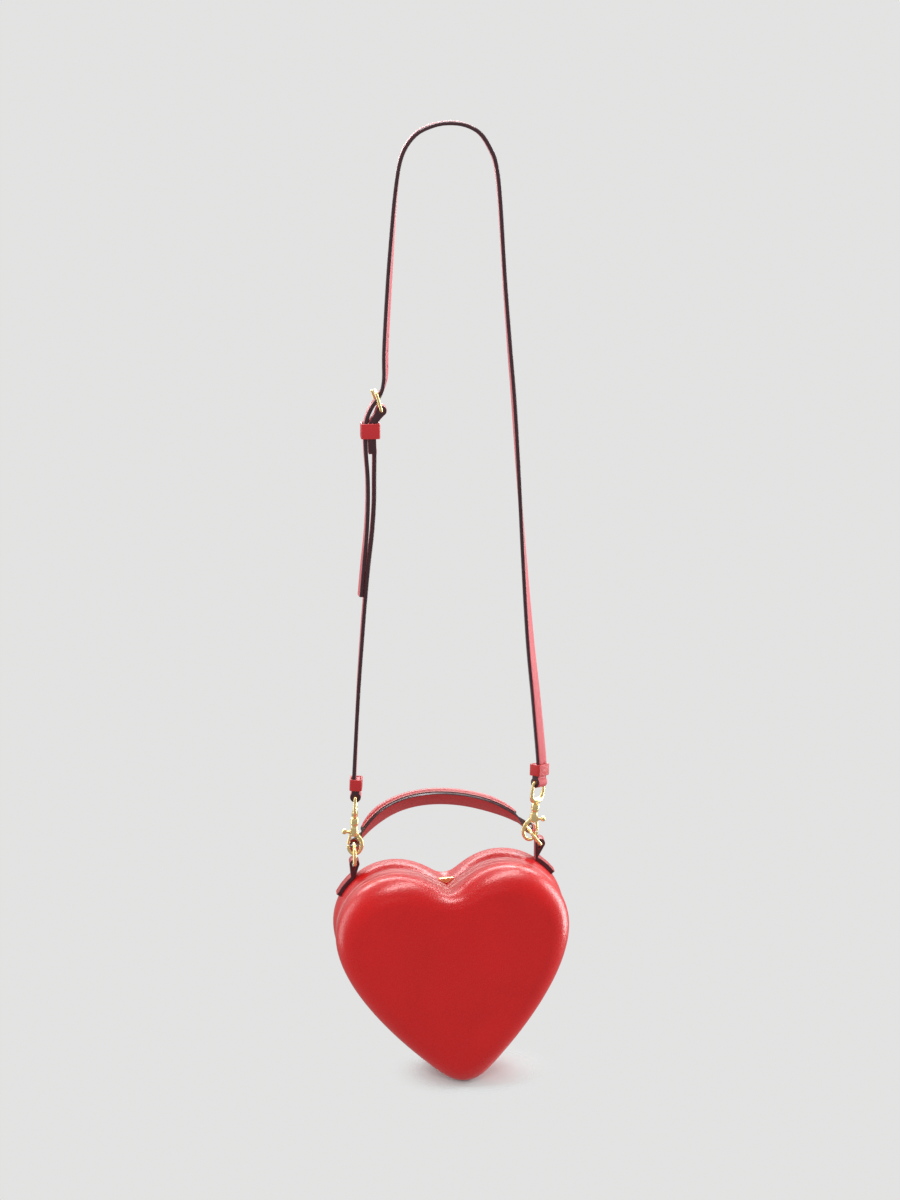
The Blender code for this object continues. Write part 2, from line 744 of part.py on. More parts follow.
FORMER_LAYER = COVER_WALL + CLEARANCE
LINING_LAYER = FORMER_LAYER + FORMER_WALL + CLEARANCE * 2
LAYERS = (
    ("cover", 0.0, COVER_WALL, RED_LEATHER),
    ("former", FORMER_LAYER, FORMER_WALL, FORMER_BOARD),
    ("lining", LINING_LAYER, LINING_WALL, LINING_SUEDE),
)
SLOT_LOW = (-SLOT_WIDTH / 2, STEM_Y - SLOT_DEPTH / 2, BOSS_BOTTOM)
SLOT_HIGH = (SLOT_WIDTH / 2, STEM_Y + SLOT_DEPTH / 2, CLEFT_Z + OVERRUN)
for layer_name, depth, wall, finish in LAYERS:
    moulded_half("front_" + layer_name, depth, wall, -1, finish, LID)
    rear = moulded_half("rear_" + layer_name, depth, wall, 1, finish, BAG)
    cut(rear, "clasp_slot_" + layer_name, box("clasp_slot", SLOT_LOW, SLOT_HIGH), BAG)


# Clasp

def clasp_lever():
    low = CLEFT_Z + CLASP_BAR_LIFT
    top = low + CLASP_TOP_THICK
    end = STEM_Y - ARM_REACH
    front, back = STEM_Y - STEM_THICK / 2, STEM_Y + STEM_THICK / 2
    stem_top = low + CLASP_TOP_THICK / 2
    hub = arc((STEM_Y, PIVOT_Z), PIVOT_HUB_RADIUS, PIVOT_HUB_FROM_DEG, PIVOT_HUB_TO_DEG, 9)
    outline = [(end, PIVOT_Z + BARB_RISE), (end, PIVOT_Z - ARM_THICK)] + hub + [
        (back, stem_top), (front, stem_top), (front, PIVOT_Z + PIVOT_HUB_RADIUS),
        (front - PIVOT_HUB_RADIUS, PIVOT_Z), (end + BARB_THICK, PIVOT_Z),
        (end + BARB_THICK, PIVOT_Z + BARB_RISE)]
    bore = circle(PIVOT_PIN_RADIUS + CLEARANCE, 12, (STEM_Y, PIVOT_Z))
    lever = plate("latch_lever", (outline, bore), STEM_WIDTH, 0.0, SIDEWAYS)
    made = part("latch_lever", lever, GOLD, LATCH)
    tip = CLEFT_Z + CLASP_WEDGE_LIFT
    half = CLASP_WIDTH / 2
    head = ((-half, top), (half, top), (half, low), (0.0, tip), (-half, low))
    join(made, "clasp_head", plate("clasp_head", (head,), CLASP_DEPTH, 0.0, upright(CLASP_Y)), LATCH)


def clasp_bracket():
    front = RIM_DEPTH + CLEARANCE * 1.5
    top = CLEFT_Z - BRACKET_TOP_DROP
    low = CLEFT_Z - BRACKET_BOTTOM_DROP
    half = BRACKET_WIDTH / 2
    back = front + BRACKET_THICK
    made = part("latch_bracket", box("latch_bracket", (-half, front, low), (half, back, top)),
                GOLD, BAG)
    foot = CLEFT_Z - EAR_FOOT_DROP
    rear = STEM_Y + EAR_REACH
    side_view = ((front, top), (back, top), (rear, PIVOT_Z + EAR_REACH), (rear, foot),
                 (EAR_FRONT, foot), (front, low))
    for i, side in enumerate((-1, 1)):
        middle = side * (EAR_INSIDE + EAR_THICK / 2)
        place = Matrix.Translation((middle, 0.0, 0.0)) @ SIDEWAYS
        join(made, f"latch_ear_{i}", plate("latch_ear", (side_view,), EAR_THICK, 0.0, place), BAG)
    bore = rod("bracket_bore", "X", (0.0, STEM_Y, PIVOT_Z), BRACKET_WIDTH + OVERRUN,
               PIVOT_PIN_RADIUS + CLEARANCE, 12)
    cut(made, "bracket_bore", bore, BAG)
    part("latch_pin", rod("latch_pin", "X", (0.0, STEM_Y, PIVOT_Z), BRACKET_WIDTH,
                          PIVOT_PIN_RADIUS), GOLD, BAG)
    spring_y = back + CLEARANCE + LEAF_SPRING_THICK / 2
    low = top - LEAF_SPRING_LENGTH
    path = ((spring_y, top), (spring_y, low + LEAF_SPRING_BEND * 2), (spring_y + LEAF_SPRING_BEND, low))
    leaf = plate("latch_spring", (band(path, LEAF_SPRING_THICK),), LEAF_SPRING_WIDTH, 0.0, SIDEWAYS)
    part("latch_spring", leaf, SPRING_STEEL, BAG)


def strike_plate():
    """Hangs a cross bar under the front rim's boss for the lever to hook."""
    top = BOSS_BOTTOM - CLEARANCE
    foot = top - STRIKE_THICK
    bar = BOSS_BOTTOM - STRIKE_BAR_DROP
    half, window = STRIKE_WIDTH / 2, STRIKE_WINDOW_WIDTH / 2
    leg = window + STRIKE_THICK
    outline = ((-half, top), (-window, top), (-window, bar), (window, bar), (window, top),
               (half, top), (half, foot), (leg, foot), (leg, bar - STRIKE_THICK),
               (-leg, bar - STRIKE_THICK), (-leg, foot), (-half, foot))
    part("strike_plate", plate("strike_plate", (outline,), STRIKE_DEPTH, 0.0, upright(STRIKE_Y)),
         GOLD, LID)


clasp_lever()
clasp_bracket()
strike_plate()


# Ring tabs and D-rings

def contour_strip(side, offset):
    """Points along the shoulder from the tab's foot to its bend, at a height over the rim."""
    points = []
    for step in range(TAB_STRIP_STEPS + 1):
        share = TAB_FOOT_SHARE + (TAB_BEND_SHARE - TAB_FOOT_SHARE) * step / TAB_STRIP_STEPS
        z = share * HEART_HEIGHT
        for i, point in enumerate(OUTLINE):
            after = OUTLINE[(i + 1) % len(OUTLINE)]
            outer = max(abs(point.x), abs(after.x)) > HEART_WIDTH / 4
            if point.x * side <= 0 or not outer or (point.y - z) * (after.y - z) > 0:
                continue
            share = (z - point.y) / (after.y - point.y)
            normal = NORMALS[i].lerp(NORMALS[(i + 1) % len(OUTLINE)], share)
            points.append(point.lerp(after, share) + normal * offset)
            break
    return points


def looped_band(strip, thickness, middle, radius):
    """The outline of a band that ends in a loop round middle, and the way it faces there."""
    toward = (Vector(middle) - Vector(strip[-1])).normalized()
    heading = math.degrees(math.atan2(toward.y, toward.x))
    edges = band([tuple(point) for point in strip], thickness)
    half = len(edges) // 2
    loop = arc(middle, radius, heading + TAB_LOOP_OPEN_DEG, heading - TAB_LOOP_OPEN_DEG, 12)
    return edges[:half] + loop + edges[half:], toward, heading


def ring_tab(name, side, bar):
    strip = contour_strip(side, REAR_TOP_BULGE + CLEARANCE + TAB_THICK / 2)
    outline, toward, heading = looped_band(strip, TAB_THICK, bar, TAB_LOOP_OUTER)
    hole = arc(bar, TAB_LOOP_INNER, heading + TAB_HOLE_OPEN_DEG, heading - TAB_HOLE_OPEN_DEG, 8)
    hole.append(tuple(Vector(bar) - toward * TAB_LOOP_GAP))
    part(name, plate(name, (outline, hole), TAB_WIDTH, 0.0, upright(TAB_Y)), RED_LEATHER, BAG)


def ring_frame(name, bar, lean):
    return empty(name, Matrix.Translation((bar[0], TAB_Y, bar[1]))
                 @ Matrix.Rotation(math.radians(lean), 4, "Y"), BAG)


def d_ring(name, frame):
    straight = RING_RADIUS - RING_CORNER
    path = [(0.0, -straight, 0.0), (0.0, straight, 0.0)]
    path += [(0.0, y, z) for y, z in arc((straight, RING_CORNER), RING_CORNER, -60, 0, 2)]
    path += [(0.0, y, z) for y, z in arc((0.0, RING_LEG), RING_RADIUS, 0, 180, 14)]
    path += [(0.0, y, z) for y, z in arc((-straight, RING_CORNER), RING_CORNER, 180, 240, 2)]
    part(name, tube(name, path, RING_WIRE, closed=True), GOLD, frame)


ring_tab("tab_left", -1, RING_BAR_LEFT)
ring_tab("tab_right", 1, RING_BAR_RIGHT)
RING_LEFT = ring_frame("ring_left_frame", RING_BAR_LEFT, RING_LEAN_LEFT_DEG)
RING_RIGHT = ring_frame("ring_right_frame", RING_BAR_RIGHT, RING_LEAN_RIGHT_DEG)
d_ring("d_ring_left", RING_LEFT)
d_ring("d_ring_right", RING_RIGHT)


def ring_centre(frame):
    """The middle of a ring's round part, in bag coordinates."""
    return frame.matrix_basis @ Vector((0.0, 0.0, RING_LEG))


# Top handle: drawn in a plane that leans back from the line through the rings

LEFT_CENTRE, RIGHT_CENTRE = ring_centre(RING_LEFT), ring_centre(RING_RIGHT)
HANDLE_MIDDLE = (LEFT_CENTRE + RIGHT_CENTRE) / 2
HANDLE_ALONG = (RIGHT_CENTRE - LEFT_CENTRE).normalized()
TILT = math.radians(HANDLE_TILT_DEG)
LIFT = Matrix.Rotation(-TILT, 4, HANDLE_ALONG) @ Vector((0.0, 0.0, 1.0))
LIFT = (LIFT - HANDLE_ALONG * LIFT.dot(HANDLE_ALONG)).normalized()
ACROSS = HANDLE_ALONG.cross(LIFT).normalized()
HANDLE_PLACE = Matrix((
    (HANDLE_ALONG.x, LIFT.x, ACROSS.x, HANDLE_MIDDLE.x),
    (HANDLE_ALONG.y, LIFT.y, ACROSS.y, HANDLE_MIDDLE.y),
    (HANDLE_ALONG.z, LIFT.z, ACROSS.z, HANDLE_MIDDLE.z),
    (0.0, 0.0, 0.0, 1.0)))
HANDLE = joint("handle_axis", HANDLE_MIDDLE, BAG)


def ring_hold(frame):
    """Where a ring's wire crosses the handle plane, and the wire's slope to it there."""
    reach = RING_RADIUS - HANDLE_LOOP_SINK
    back = HANDLE_PLACE.inverted()
    low, high = 0.0, math.pi / 2
    for _ in range(BISECTIONS):
        turn = (low + high) / 2
        side = Vector((0.0, reach * math.sin(turn), RING_LEG + reach * math.cos(turn)))
        flat = back @ (frame.matrix_basis @ side)
        low, high = (turn, high) if flat.z * ACROSS.y < 0 else (low, turn)
    wire = frame.matrix_basis.to_3x3() @ Vector((0.0, math.cos(turn), -math.sin(turn)))
    along = back.to_3x3() @ wire
    return Vector((flat.x, flat.y)), Vector((along.x / along.z, along.y / along.z))



def handle_arch():
    """Middle line of the handle's strip from the left loop to the right one."""
    (left, _), (right, _) = ring_hold(RING_LEFT), ring_hold(RING_RIGHT)
    chord = right - left
    half = chord.length / 2
    rise = HANDLE_RISE - (left.y + right.y) / 2
    radius = (half * half + rise * rise) / (rise * 2)
    middle = (left + right) / 2 + Vector((0.0, rise - radius))
    start = math.atan2(left.y - middle.y, left.x - middle.x)
    end = math.atan2(right.y - middle.y, right.x - middle.x)
    turns = [start + (end - start) * i / HANDLE_STEPS for i in range(HANDLE_STEPS + 1)]
    return middle, radius, turns


HANDLE_CENTRE, HANDLE_RADIUS, HANDLE_TURNS = handle_arch()
HANDLE_HALF_TURN = (HANDLE_TURNS[0] - HANDLE_TURNS[-1]) / 2
HANDLE_MID_TURN = (HANDLE_TURNS[0] + HANDLE_TURNS[-1]) / 2


def handle_share(x, y):
    """0 in the middle of the handle and 1 at its loops."""
    turn = math.atan2(y - HANDLE_CENTRE.y, x - HANDLE_CENTRE.x)
    return min(1.0, abs(turn - HANDLE_MID_TURN) / HANDLE_HALF_TURN)


def handle_width(share):
    taper = max(0.0, (share - HANDLE_TAPER_FROM_SHARE) / (1.0 - HANDLE_TAPER_FROM_SHARE))
    taper = taper * taper * (3.0 - taper * 2.0)
    return HANDLE_WIDTH + (HANDLE_END_WIDTH - HANDLE_WIDTH) * taper


def handle_shear(x):
    """The loops turn with the wires they hold, more towards the ends."""
    _, slope = ring_hold(RING_RIGHT if x > 0 else RING_LEFT)
    share = abs(x) / (HANDLE_SPAN / 2)
    ease = (share - SHEAR_FROM_SHARE) / (SHEAR_TO_SHARE - SHEAR_FROM_SHARE)
    return slope * min(1.0, max(0.0, ease))


HANDLE_SPAN = (ring_hold(RING_RIGHT)[0] - ring_hold(RING_LEFT)[0]).length


def shape_handle(mesh):
    for vertex in mesh.vertices:
        x, y, z = vertex.co
        share = handle_share(x, y)
        depth = z * handle_width(share) / HANDLE_WIDTH
        slope = handle_shear(x)
        sway = HANDLE_SKEW * (1.0 - share * share) ** 2
        vertex.co = (x + slope.x * depth - sway, y + slope.y * depth, depth)
    mesh.transform(HANDLE_PLACE)
    return mesh


def handle_lining():
    radius = HANDLE_RADIUS
    spots = [
        (HANDLE_CENTRE.x + radius * math.cos(turn), HANDLE_CENTRE.y + radius * math.sin(turn))
        for turn in HANDLE_TURNS
    ]
    left, right = spots[0], spots[-1]
    strip = band(spots[2:-2], HANDLE_THICK)
    half = len(strip) // 2
    outer, inner = strip[:half], strip[half:]
    if Vector(outer[half // 2]).y < Vector(inner[half // 2]).y:
        outer, inner = inner[::-1], outer[::-1]
    heading_right = math.degrees(HANDLE_TURNS[-1]) - 90
    heading_left = math.degrees(HANDLE_TURNS[0]) + 90
    open_deg = HANDLE_LOOP_OPEN_DEG
    loop_right = arc(right, HANDLE_LOOP_OUTER, heading_right + open_deg, heading_right - open_deg, 14)
    loop_left = arc(left, HANDLE_LOOP_OUTER, heading_left + open_deg, heading_left - open_deg, 14)
    outline = outer + loop_right + inner + loop_left
    holes = [circle(HANDLE_LOOP_INNER, 12, right), circle(HANDLE_LOOP_INNER, 12, left)]
    mesh = plate("handle_lining", (outline, *holes), HANDLE_WIDTH)
    part("handle_lining", shape_handle(mesh), RED_LEATHER, HANDLE)


def handle_layer(name, section, end_share, finish, steps):
    """Lays a section along the handle: each point is a share of the width and a height."""
    base = HANDLE_RADIUS + HANDLE_THICK / 2 + CLEARANCE
    rings = []
    for i in range(steps + 1):
        along = (i / steps * 2.0 - 1.0) * end_share
        turn = HANDLE_MID_TURN - HANDLE_HALF_TURN * along
        ring = []
        for across, height in section(abs(along) / end_share):
            reach = base + height
            ring.append((HANDLE_CENTRE.x + reach * math.cos(turn),
                         HANDLE_CENTRE.y + reach * math.sin(turn), across * HANDLE_WIDTH / 2))
        rings.append(ring)
    part(name, shape_handle(loft(name, rings)), finish, HANDLE)


def swell(share, from_share):
    """Full height in the middle, easing down over the last stretch."""
    fall = max(0.0, (share - from_share) / (1.0 - from_share))
    return 1.0 - fall * fall


def core_section(share):
    ease = END_HEIGHT_SHARE + (1.0 - END_HEIGHT_SHARE) * swell(share, CORE_EASE_FROM_SHARE)
    height = HANDLE_CORE_HEIGHT * ease
    half = HANDLE_CORE_SHARE
    return [(-half, 0.0), (half, 0.0)] + [
        (half * math.cos(turn), height * math.sin(turn))
        for turn in (math.pi / 5, math.pi * 2 / 5, math.pi * 3 / 5, math.pi * 4 / 5)
    ]



def top_section(share):
    flange = HANDLE_FLANGE_THICK
    ease = END_HEIGHT_SHARE + (1.0 - END_HEIGHT_SHARE) * swell(share, TOP_EASE_FROM_SHARE)
    room = (HANDLE_CORE_HEIGHT + CLEARANCE) * ease + CLEARANCE
    dome = HANDLE_DOME * ease + flange
    inner = HANDLE_CORE_SHARE + CORE_ROOM_SHARE
    outer = inner + COVER_SHOULDER_SHARE
    points = [(-1.0, 0.0), (-1.0, flange), (-outer, flange)]
    points += [(outer * math.cos(turn), flange + (dome - flange) * math.sin(turn))
               for turn in (math.pi * 3 / 4, math.pi / 2, math.pi / 4)]
    points += [(outer, flange), (1.0, flange), (1.0, 0.0), (inner, 0.0)]
    points += [(inner * math.cos(turn), room * math.sin(turn))
               for turn in (math.pi / 4, math.pi / 2, math.pi * 3 / 4)]
    points.append((-inner, 0.0))
    return points


handle_lining()
handle_layer("handle_core", core_section, HANDLE_CORE_END_SHARE, PADDING, 18)
handle_layer("handle_top", top_section, HANDLE_PAD_END_SHARE, RED_LEATHER, 24)


# Swivel hooks: each is drawn upright about the wire at its bottom, its gate towards side

def turned(name, profile, side, steps, frame, finish):
    """A turned body on a line that stands beside the hook's own middle line."""
    mesh = bpy.data.meshes.new(name)
    mesh.from_pydata([(r, 0.0, z) for r, z in profile], [(i, i + 1) for i in range(len(profile) - 1)], [])
    made = part(name, mesh, finish, frame)
    made.location = (side, 0.0, 0.0)
    screw = made.modifiers.new("turn", "SCREW")
    screw.steps = steps
    screw.render_steps = steps
    screw.use_merge_vertices = True
    screw.merge_threshold = WELD
    screw.use_smooth_shade = True
    return made


def hook_body(name, side, frame):
    profile = (
        (0.0, HOOK_COLLAR_TOP), (HOOK_COLLAR_RADIUS - HOOK_CHAMFER, HOOK_COLLAR_TOP),
        (HOOK_COLLAR_RADIUS, HOOK_COLLAR_TOP - HOOK_CHAMFER), (HOOK_COLLAR_RADIUS, HOOK_COLLAR_FROM),
        (HOOK_WAIST_RADIUS, HOOK_COLLAR_FROM - HOOK_CHAMFER), (HOOK_WAIST_RADIUS, HOOK_WAIST_FROM),
        (HOOK_BODY_RADIUS, HOOK_WAIST_FROM - HOOK_CHAMFER * 2),
        (HOOK_BODY_RADIUS, HOOK_BODY_FROM + HOOK_CHAMFER),
        (HOOK_BODY_RADIUS - HOOK_CHAMFER, HOOK_BODY_FROM), (0.0, HOOK_BODY_FROM))
    made = turned(name, profile, side * HOOK_BODY_SIDE, HOOK_SIDES, frame, GOLD)
    points = [(side * x * HOOK_HALF_WIDTH, 0.0, z * HOOK_BODY_FROM) for x, z in HOOK_ROOT_SHARES]
    radii = [HOOK_SHANK] * len(points)
    for i in range(HOOK_POINTS + 1):
        share = i / HOOK_POINTS
        turn = math.radians(HOOK_FROM_DEG + (HOOK_TO_DEG - HOOK_FROM_DEG) * share)
        points.append((side * HOOK_HALF_WIDTH * math.sin(turn), 0.0,
                       HOOK_HALF_HEIGHT * (1.0 - math.cos(turn))))
        middle = min(1.0, share * 2)
        radius = HOOK_SHANK + (HOOK_WIRE - HOOK_SHANK) * middle
        radii.append(radius + (HOOK_NOSE - HOOK_WIRE) * max(0.0, share * 2 - 1.0))
    join(made, name + "_wire", tube(name, points, HOOK_WIRE, radii=radii), frame)
    middle = side * HOOK_BODY_SIDE
    bore_low = HOOK_COLLAR_TOP - POST_REACH - CLEARANCE
    bore = rod(name + "_bore", "Z", (middle, 0.0, (bore_low + HOOK_COLLAR_TOP + OVERRUN) / 2),
               HOOK_COLLAR_TOP + OVERRUN - bore_low, POST_RADIUS + CLEARANCE, 12)
    cut(made, name + "_bore", bore, frame)
    room_top = HOOK_COLLAR_TOP - POST_REACH + CLEARANCE
    room_tall = POST_HEAD_THICK + CLEARANCE * 2
    room = rod(name + "_room", "Z", (middle, 0.0, room_top - room_tall / 2), room_tall,
               POST_HEAD_RADIUS + CLEARANCE, 12)
    cut(made, name + "_room", room, frame)
    half = GATE_HUB_WIDTH / 2 + CLEARANCE
    low_x, high_x = sorted((side * GATE_SLOT_SIDE, side * (GATE_SLOT_SIDE + OVERRUN * 2)))
    slot = box(name + "_slot", (low_x, -half, HOOK_BODY_FROM - OVERRUN), (high_x, half, GATE_SLOT_TOP))
    cut(made, name + "_slot", slot, frame)
    pin_place = (side * GATE_PIVOT_SIDE, 0.0, GATE_PIVOT_HEIGHT)
    pin_hole = rod(name + "_pin_hole", "Y", pin_place, OVERRUN * 2, GATE_PIN_RADIUS + CLEARANCE, 10)
    cut(made, name + "_pin_hole", pin_hole, frame)
    return made


def hook_gate(name, side, frame):
    pivot = (side * GATE_PIVOT_SIDE, 0.0, GATE_PIVOT_HEIGHT)
    made = part(name, rod(name, "Y", pivot, GATE_HUB_WIDTH, GATE_HUB_RADIUS, 14), GOLD, frame)
    tip = (side * HOOK_HALF_WIDTH, 0.0, GATE_TIP_HEIGHT)
    join(made, name + "_wire", tube(name, [pivot, tip], GATE_WIRE), frame)
    knob = (side * KNOB_SIDE, 0.0, KNOB_HEIGHT)
    join(made, name + "_stem", tube(name, [pivot, knob], KNOB_STEM), frame)
    join(made, name + "_knob", ball(name, knob, KNOB_RADIUS), frame)
    bore = rod(name + "_bore", "Y", pivot, OVERRUN, GATE_PIN_RADIUS + CLEARANCE, 10)
    cut(made, name + "_bore", bore, frame)
    return made


def swivel_eye(name, side, turn_deg, frame):
    """A D-shaped eye on a headed post that turns in the hook's collar."""
    place = Matrix.Translation((side * HOOK_BODY_SIDE, 0.0, 0.0)) @ Matrix.Rotation(
        math.radians(turn_deg), 4, "Z")
    low = HOOK_COLLAR_TOP + CLEARANCE
    base = low + EYE_BASE_WIRE
    top = low + EYE_BAR_RISE
    inside = EYE_HALF_WIDTH - EYE_CORNER
    corner = arc((inside, top - EYE_CORNER), EYE_CORNER, 0, 90, 3)
    half = [(x * EYE_HALF_WIDTH, 0.0, base + rise * EYE_BAR_RISE) for x, rise, _ in EYE_SIDE_SHARES]
    half += [(x, 0.0, z) for x, z in corner]
    half_radii = [share * EYE_BASE_WIRE for _, _, share in EYE_SIDE_SHARES] + [EYE_WIRE] * len(corner)
    path = half + [(-x, y, z) for x, y, z in reversed(half)]
    radii = half_radii + half_radii[::-1]
    ring = tube(name, path, EYE_WIRE, closed=True, radii=radii, matrix=place)
    made = part(name, ring, GOLD, frame)
    hub = rod(name + "_hub", "Z", (0.0, 0.0, (low + base) / 2), base - low, EYE_HUB_RADIUS, 14)
    hub.transform(place)
    join(made, name + "_hub", hub, frame)
    post_low = HOOK_COLLAR_TOP - POST_REACH - POST_HEAD_THICK / 2
    post = rod(name + "_post", "Z", (0.0, 0.0, (base + post_low) / 2), base - post_low, POST_RADIUS, 12)
    post.transform(place)
    join(made, name + "_post", post, frame)
    head_middle = HOOK_COLLAR_TOP - POST_REACH - POST_HEAD_THICK / 2
    head = rod(name + "_head", "Z", (0.0, 0.0, head_middle), POST_HEAD_THICK, POST_HEAD_RADIUS, 12)
    head.transform(place)
    join(made, name + "_head", head, frame)
    return made


def hook_space(name, ring, place, lean_deg):
    """Stands a hook on the strap's side of the world where its wire passes the ring."""
    centre = BAG.matrix_basis @ ring_centre(ring) + Vector(place)
    return empty(name, Matrix.Translation(centre)
                 @ Matrix.Rotation(math.radians(lean_deg), 4, "Y"), STRAP)


def swivel_hook(label, side, space, turn_deg):
    swivel = joint(f"hook_{label}_axis", (side * HOOK_BODY_SIDE, 0.0, HOOK_COLLAR_TOP), space)
    hook_body(f"hook_body_{label}", side, swivel)
    pivot = Vector((side * GATE_PIVOT_SIDE, 0.0, GATE_PIVOT_HEIGHT))
    gate_axis = joint(f"gate_{label}_axis", pivot, space)
    hook_gate(f"hook_gate_{label}", side, gate_axis)
    part(f"gate_pin_{label}", rod("gate_pin", "Y", pivot, HOOK_BODY_RADIUS * 1.5, GATE_PIN_RADIUS, 8),
         GOLD, swivel)
    spring = [(side * x * GATE_PIVOT_HEIGHT, 0.0, z * GATE_PIVOT_HEIGHT) for x, z in GATE_SPRING_SHARES]
    part(f"gate_spring_{label}", tube("gate_spring", spring, GATE_SPRING_WIRE, resolution=1),
         SPRING_STEEL, swivel)
    swivel_eye(f"swivel_eye_{label}", side, turn_deg, space)


HOOK_LEFT = hook_space("hook_left_frame", RING_LEFT, HOOK_PLACE_LEFT, HOOK_LEAN_LEFT_DEG)
HOOK_RIGHT = hook_space("hook_right_frame", RING_RIGHT, HOOK_PLACE_RIGHT, HOOK_LEAN_RIGHT_DEG)
swivel_hook("left", -1, HOOK_LEFT, EYE_TURN_LEFT_DEG)
swivel_hook("right", 1, HOOK_RIGHT, EYE_TURN_RIGHT_DEG)


# Shoulder strap: routes are seen from the front, in x and z

def eye_bar(space, side):
    return space.matrix_basis @ Vector(
        (side * HOOK_BODY_SIDE, 0.0, HOOK_COLLAR_TOP + CLEARANCE + EYE_BAR_RISE))


def smooth_route(points):
    """A smooth curve through the points, sampled about every strap step."""
    curve = [Vector(point) for point in points]
    samples = [curve[0]]
    for i in range(len(curve) - 1):
        a = curve[max(i - 1, 0)]
        b, c = curve[i], curve[i + 1]
        d = curve[min(i + 2, len(curve) - 1)]
        count = max(1, math.ceil((c - b).length / STRAP_STEP))
        for step in range(1, count + 1):
            t = step / count
            samples.append(
                (b * 2 + (c - a) * t + (a * 2 - b * 5 + c * 4 - d) * t * t
                 + (b * 3 - a - c * 3 + d) * t ** 3) / 2)
    return samples


def strand(name, route, turns):
    """A flat strap along a route: the outer face lies to the left of the way it runs, and
    the width is turned from Y towards that face by degrees given at shares of the way."""
    samples = smooth_route(route)
    total = sum((b - a).length for a, b in zip(samples, samples[1:]))
    half_thick = STRAP_THICK / 2
    half_wide = STRAP_WIDTH / 2
    edge = STRAP_EDGE
    section = ((-half_wide, -half_thick + edge), (-half_wide + edge, -half_thick),
               (half_wide - edge, -half_thick), (half_wide, -half_thick + edge),
               (half_wide, half_thick - edge), (half_wide - edge, half_thick),
               (-half_wide + edge, half_thick), (-half_wide, half_thick - edge))
    rings, gone = [], 0.0
    for i, spot in enumerate(samples):
        before = samples[max(i - 1, 0)]
        after = samples[min(i + 1, len(samples) - 1)]
        if i:
            gone += (spot - samples[i - 1]).length
        way = (after - before).normalized()
        out = Vector((-way.z, 0.0, way.x)).normalized()
        share = gone / total
        turn = math.radians(turn_at(turns, share))
        wide = Vector((0.0, math.cos(turn), 0.0)) + out * math.sin(turn)
        thick = out * math.cos(turn) - Vector((0.0, math.sin(turn), 0.0))
        rings.append([spot + wide * u + thick * v for u, v in section])
    return loft(name, rings)


def turn_at(turns, share):
    """Angle between (share, degrees) stations."""
    for (s0, a0), (s1, a1) in zip(turns, turns[1:]):
        if share <= s1:
            t = (share - s0) / (s1 - s0)
            t = t * t * (3.0 - t * 2.0)
            return a0 + (a1 - a0) * t
    return turns[-1][1]


def end_fold(name, space, side, eye_turn_deg, lean_deg):
    """The strap's end, folded round an eye's bar and sewn to itself. Drawn with the bar
    at the origin, the width along Y and the strap running up Z."""
    eye_turn = math.radians(eye_turn_deg)
    wide = space.matrix_basis.to_3x3() @ Vector((math.cos(eye_turn), math.sin(eye_turn), 0.0))
    lean = math.radians(lean_deg)
    up = Vector((math.sin(lean), 0.0, math.cos(lean)))
    up = (up - wide * up.dot(wide)).normalized()
    out = wide.cross(up)
    place = Matrix.Translation(eye_bar(space, side)) @ Matrix((
        (out.x, wide.x, up.x), (out.y, wide.y, up.y), (out.z, wide.z, up.z))).to_4x4()
    half = FOLD_THICK / 2
    loop = arc((0.0, 0.0), FOLD_LOOP_OUTER, 135, 405, 14)
    outline = [(-half, FOLD_LENGTH)] + loop + [(half, FOLD_LENGTH)]
    hole = circle(FOLD_LOOP_INNER, 12)
    return plate(name, (outline, hole), FOLD_WIDTH, 0.0, place @ UPRIGHT), place


def end_keeper(name, place):
    """A leather loop round the fold."""
    half_x = FOLD_THICK / 2 + CLEARANCE
    half_y = FOLD_WIDTH / 2 + CLEARANCE
    return keeper(name, (-half_x, half_x), half_y, KEEPER_RISE, KEEPER_HEIGHT, place)


def keeper(name, span, half_y, middle, height, place):
    low, high = span
    outer = ((low - KEEPER_WALL, -half_y - KEEPER_WALL), (high + KEEPER_WALL, -half_y - KEEPER_WALL),
             (high + KEEPER_WALL, half_y + KEEPER_WALL), (low - KEEPER_WALL, half_y + KEEPER_WALL))
    inner = ((low, -half_y), (high, -half_y), (high, half_y), (low, half_y))
    return plate(name, (outer, inner), height, 0.0, place @ Matrix.Translation((0.0, 0.0, middle)))


def strand_start(place, out_side):
    """Where the single strap leaves the fold, on its outer ply."""
    offset = (FOLD_THICK - STRAP_THICK) / 2 * out_side
    return [place @ Vector((offset, 0.0, FOLD_LENGTH + reach)) for reach in (-FOLD_OVERLAP, FOLD_OVERLAP)]


def world(points, origin=(0.0, 0.0)):
    return [Vector((x + origin[0], 0.0, z + origin[1])) for x, z in points]


def spread(shares):
    return [(x * STRAP_HALF_SPREAD, z * STRAP_DROP) for x, z in shares]


def past_buckle(shares):
    return [(x * BUCKLE_LENGTH, z * BUCKLE_LENGTH) for x, z in shares]


def below_buckle(shares):
    return [(x * BUCKLE_LENGTH, z * STRAP_DROP) for x, z in shares]


HEEL = (BUCKLE_PLACE_SHARES[0] * STRAP_HALF_SPREAD, BUCKLE_PLACE_SHARES[1] * STRAP_DROP)
HEEL_SPOT = Vector((HEEL[0], 0.0, HEEL[1]))
RIGHT_TURN_DEG = 90 - EYE_TURN_RIGHT_DEG
LEFT_TURN_DEG = 90 - EYE_TURN_LEFT_DEG

